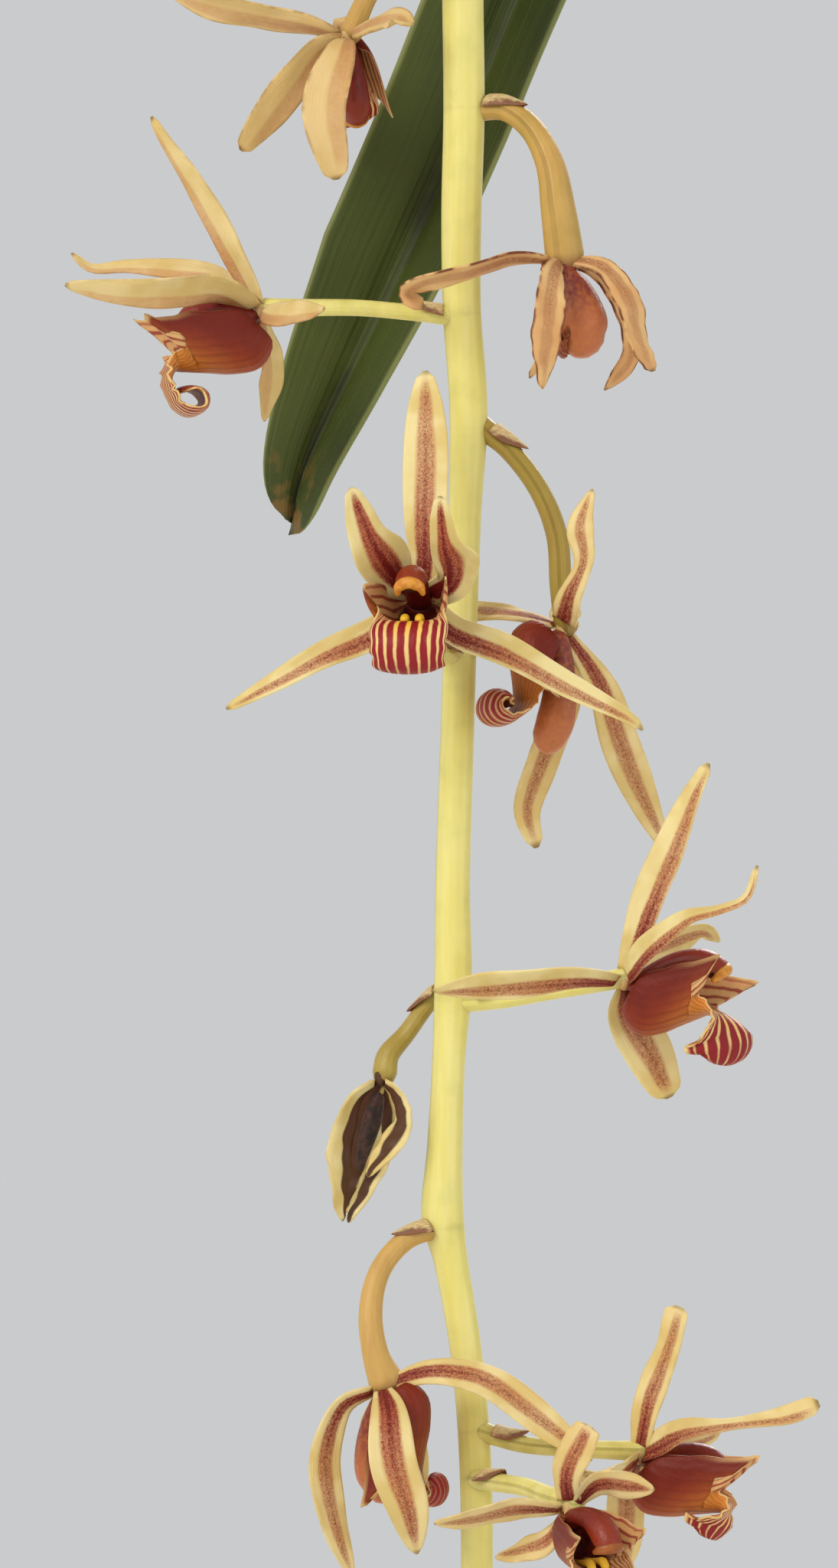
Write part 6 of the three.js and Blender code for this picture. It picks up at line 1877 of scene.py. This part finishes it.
chips = bpy.data.collections.new("chips")
for k in range(CHIP_KINDS):
    piece = chip(f"chip_{k}")
    bpy.context.scene.collection.objects.unlink(piece)
    chips.objects.link(piece)
SCATTER, SCATTER_SOCKETS = scatter_tree(chips)
settings = {"Density": CHIP_DENSITY, "Least distance": CHIP_DISTANCE, "Seed": 11}
bed = grow(bed, SCATTER, SCATTER_SOCKETS, settings)
for piece in list(chips.objects):
    bpy.data.objects.remove(piece)
hand_in(bed, "bark", "potting_bark")
print("bark faces:", len(bed.data.polygons))

# %% [markdown]
# ## The hanger
# Three galvanised wires pass in through the rim's holes and turn up inside. At the top a crimped ferrule
# grips them to the hook. The zinc is dull in patches, which only its colour and roughness show.

# %% Wire finish
def wire_finish():
    skin = Surface("galvanised", Metallic=1.0, Roughness=0.4)
    cloud = skin.noise(3.0, 4.0)
    skin.paint(skin.blend(cloud.rise(0.35, 0.7), colour(150, 152, 154), colour(190, 192, 194)),
               (cloud * 0.3 + 0.28).clear())
    skin.relief(cloud, 0.05)
    return skin.material


WIRE = wire_finish()
print("wire finish has", len(WIRE.node_tree.nodes), "nodes")

# %% [markdown]
# ## The wires, the hook and the ferrule
# Wires are lines with one radius, so the stem tree sweeps them too, and the ferrule is turned as the pot
# is, with two crimped grooves.

# %% Hanger
HOOK_WIRE, HOOK_INSIDE = 1.6, 13.0
FERRULE_BOTTOM, FERRULE_HEIGHT, FERRULE_RADIUS = -52.0, 11.0, 6.0

OUTSIDE, INSIDE = RIM_RADIUS + 4, INSIDE_TOP - 4
WIRE_PLACES = [
    (3, -47), (4.2, -56), (OUTSIDE - 1.5, WIRE_Z + 10), (OUTSIDE, WIRE_Z + 2.6),
    (OUTSIDE - 1.8, WIRE_Z + 0.3), (OUTSIDE - 5, WIRE_Z), (INSIDE, WIRE_Z),
    (INSIDE - 2.6, WIRE_Z + 1.2), (INSIDE - 3, WIRE_Z + 5),
]
for number, angle in enumerate(WIRE_ANGLES, 1):
    wire = Lines()
    wire.add(beside((0, 0, 0), angle, *WIRE_PLACES), [WIRE_RADIUS] * len(WIRE_PLACES), rows=120)
    swept = wire.sweep(f"hanger_wire_{number}_steel", WIRE, sides=14, origin=0)
    hand_in(swept, "wire", f"hanger_wire_{number}")

crook_radius = HOOK_INSIDE + HOOK_WIRE
crook = [(crook_radius * np.cos(a), 0, -HOOK_INSIDE + crook_radius * np.sin(a))
         for a in np.radians(np.linspace(-30, 180, 11))]
crook += [(-crook_radius * 0.72, 0, -HOOK_INSIDE - 9), (0, 0, -29), (0, 0, -43)]
hook = Lines()
hook.add(crook, [HOOK_WIRE] * len(crook), rows=120)
hand_in(hook.sweep("hanger_hook_steel", WIRE, sides=20, origin=0), "wire", "hanger_hook")

low, high, wide = FERRULE_BOTTOM, FERRULE_BOTTOM + FERRULE_HEIGHT, FERRULE_RADIUS
crimped = wide - 0.7
ferrule_outline = rounded([
    (0.01, low), (wide, low), (wide, low + 3), (crimped, low + 3.6), (crimped, low + 4.6),
    (wide, low + 5.2), (wide, high - 3.4), (crimped, high - 2.8), (crimped, high - 1.9),
    (wide, high - 1.3), (wide, high), (0.01, high),
], [0, 0.8, *[0.3] * 8, 0.8, 0])
ferrule = object_of(turned(ferrule_outline, 48), "hanger_ferrule", WIRE, origin=0)
hand_in(ferrule, "wire", "hanger_hook")
print("wires:", len(WIRE_ANGLES))

# %% [markdown]
# ## The floor
# A plain pale floor lies under the plant, as in a studio. It is one round face, because its far edge then
# never shows as a corner, and a faint cloud in its paint keeps it from looking flat.

# %% Floor
FLOOR_Z = -760.0
FLOOR_RADIUS = 1850


def floor_finish():
    skin = Surface("floor_paint", Roughness=0.9)
    cloud = skin.noise(300.0, 3.0)
    skin.paint(skin.blend(cloud, colour(226, 225, 220), colour(232, 231, 227)))
    return skin.material


floor_disc = Shape()
floor_points = [outward(angle) * FLOOR_RADIUS + (0, 0, FLOOR_Z) for angle in range(0, 360, 5)]
floor_disc.add(floor_points, [tuple(range(len(floor_points)))])
floor = object_of(floor_disc, "floor", floor_finish(), origin=0)
print("the floor is at", FLOOR_Z, "mm")

# %% [markdown]
# ## Light
# The key light comes from the front left, a weaker one fills from the right, and one behind draws bright
# edges round the petals. They are area lamps, because a large lamp makes soft shadows.

# %% Light
SKY = (0.82, 0.83, 0.84, 1)
SKY_STRENGTH = 0.72

world = bpy.data.worlds.new("world")
world.use_nodes = True
sky = world.node_tree.nodes["Background"].inputs
sky["Color"].default_value = SKY
sky["Strength"].default_value = SKY_STRENGTH
bpy.context.scene.world = world
bpy.context.scene.view_settings.view_transform = "Standard"


def add_lamp(name, place, target, size, power, tone):
    """A square lamp of `size` m at a place, which looks at the target."""
    data = bpy.data.lights.new(name, "AREA")
    data.energy, data.size, data.color = power, size, tone
    thing = placed(name, data)
    thing.location = place
    way = np.array(target, float) - place
    pan, tilt = np.arctan2(way[0], -way[1]), np.arctan2(way[2], np.hypot(way[0], way[1]))
    thing.rotation_euler = (tilt + np.pi / 2, 0, pan + np.pi)


middle = (0.0, -0.05, -0.45)
add_lamp("key_light", (-0.9, -1.3, 0.5), middle, 0.9, 21, (1.0, 0.97, 0.92))
add_lamp("fill_light", (1.3, -1.0, -0.3), middle, 1.2, 5, (0.95, 0.98, 1.0))
add_lamp("back_light", (0.5, 1.4, 0.4), middle, 0.8, 18, (1.0, 0.98, 0.95))

# %% [markdown]
# The pieces must stay close to the solids they stand for.
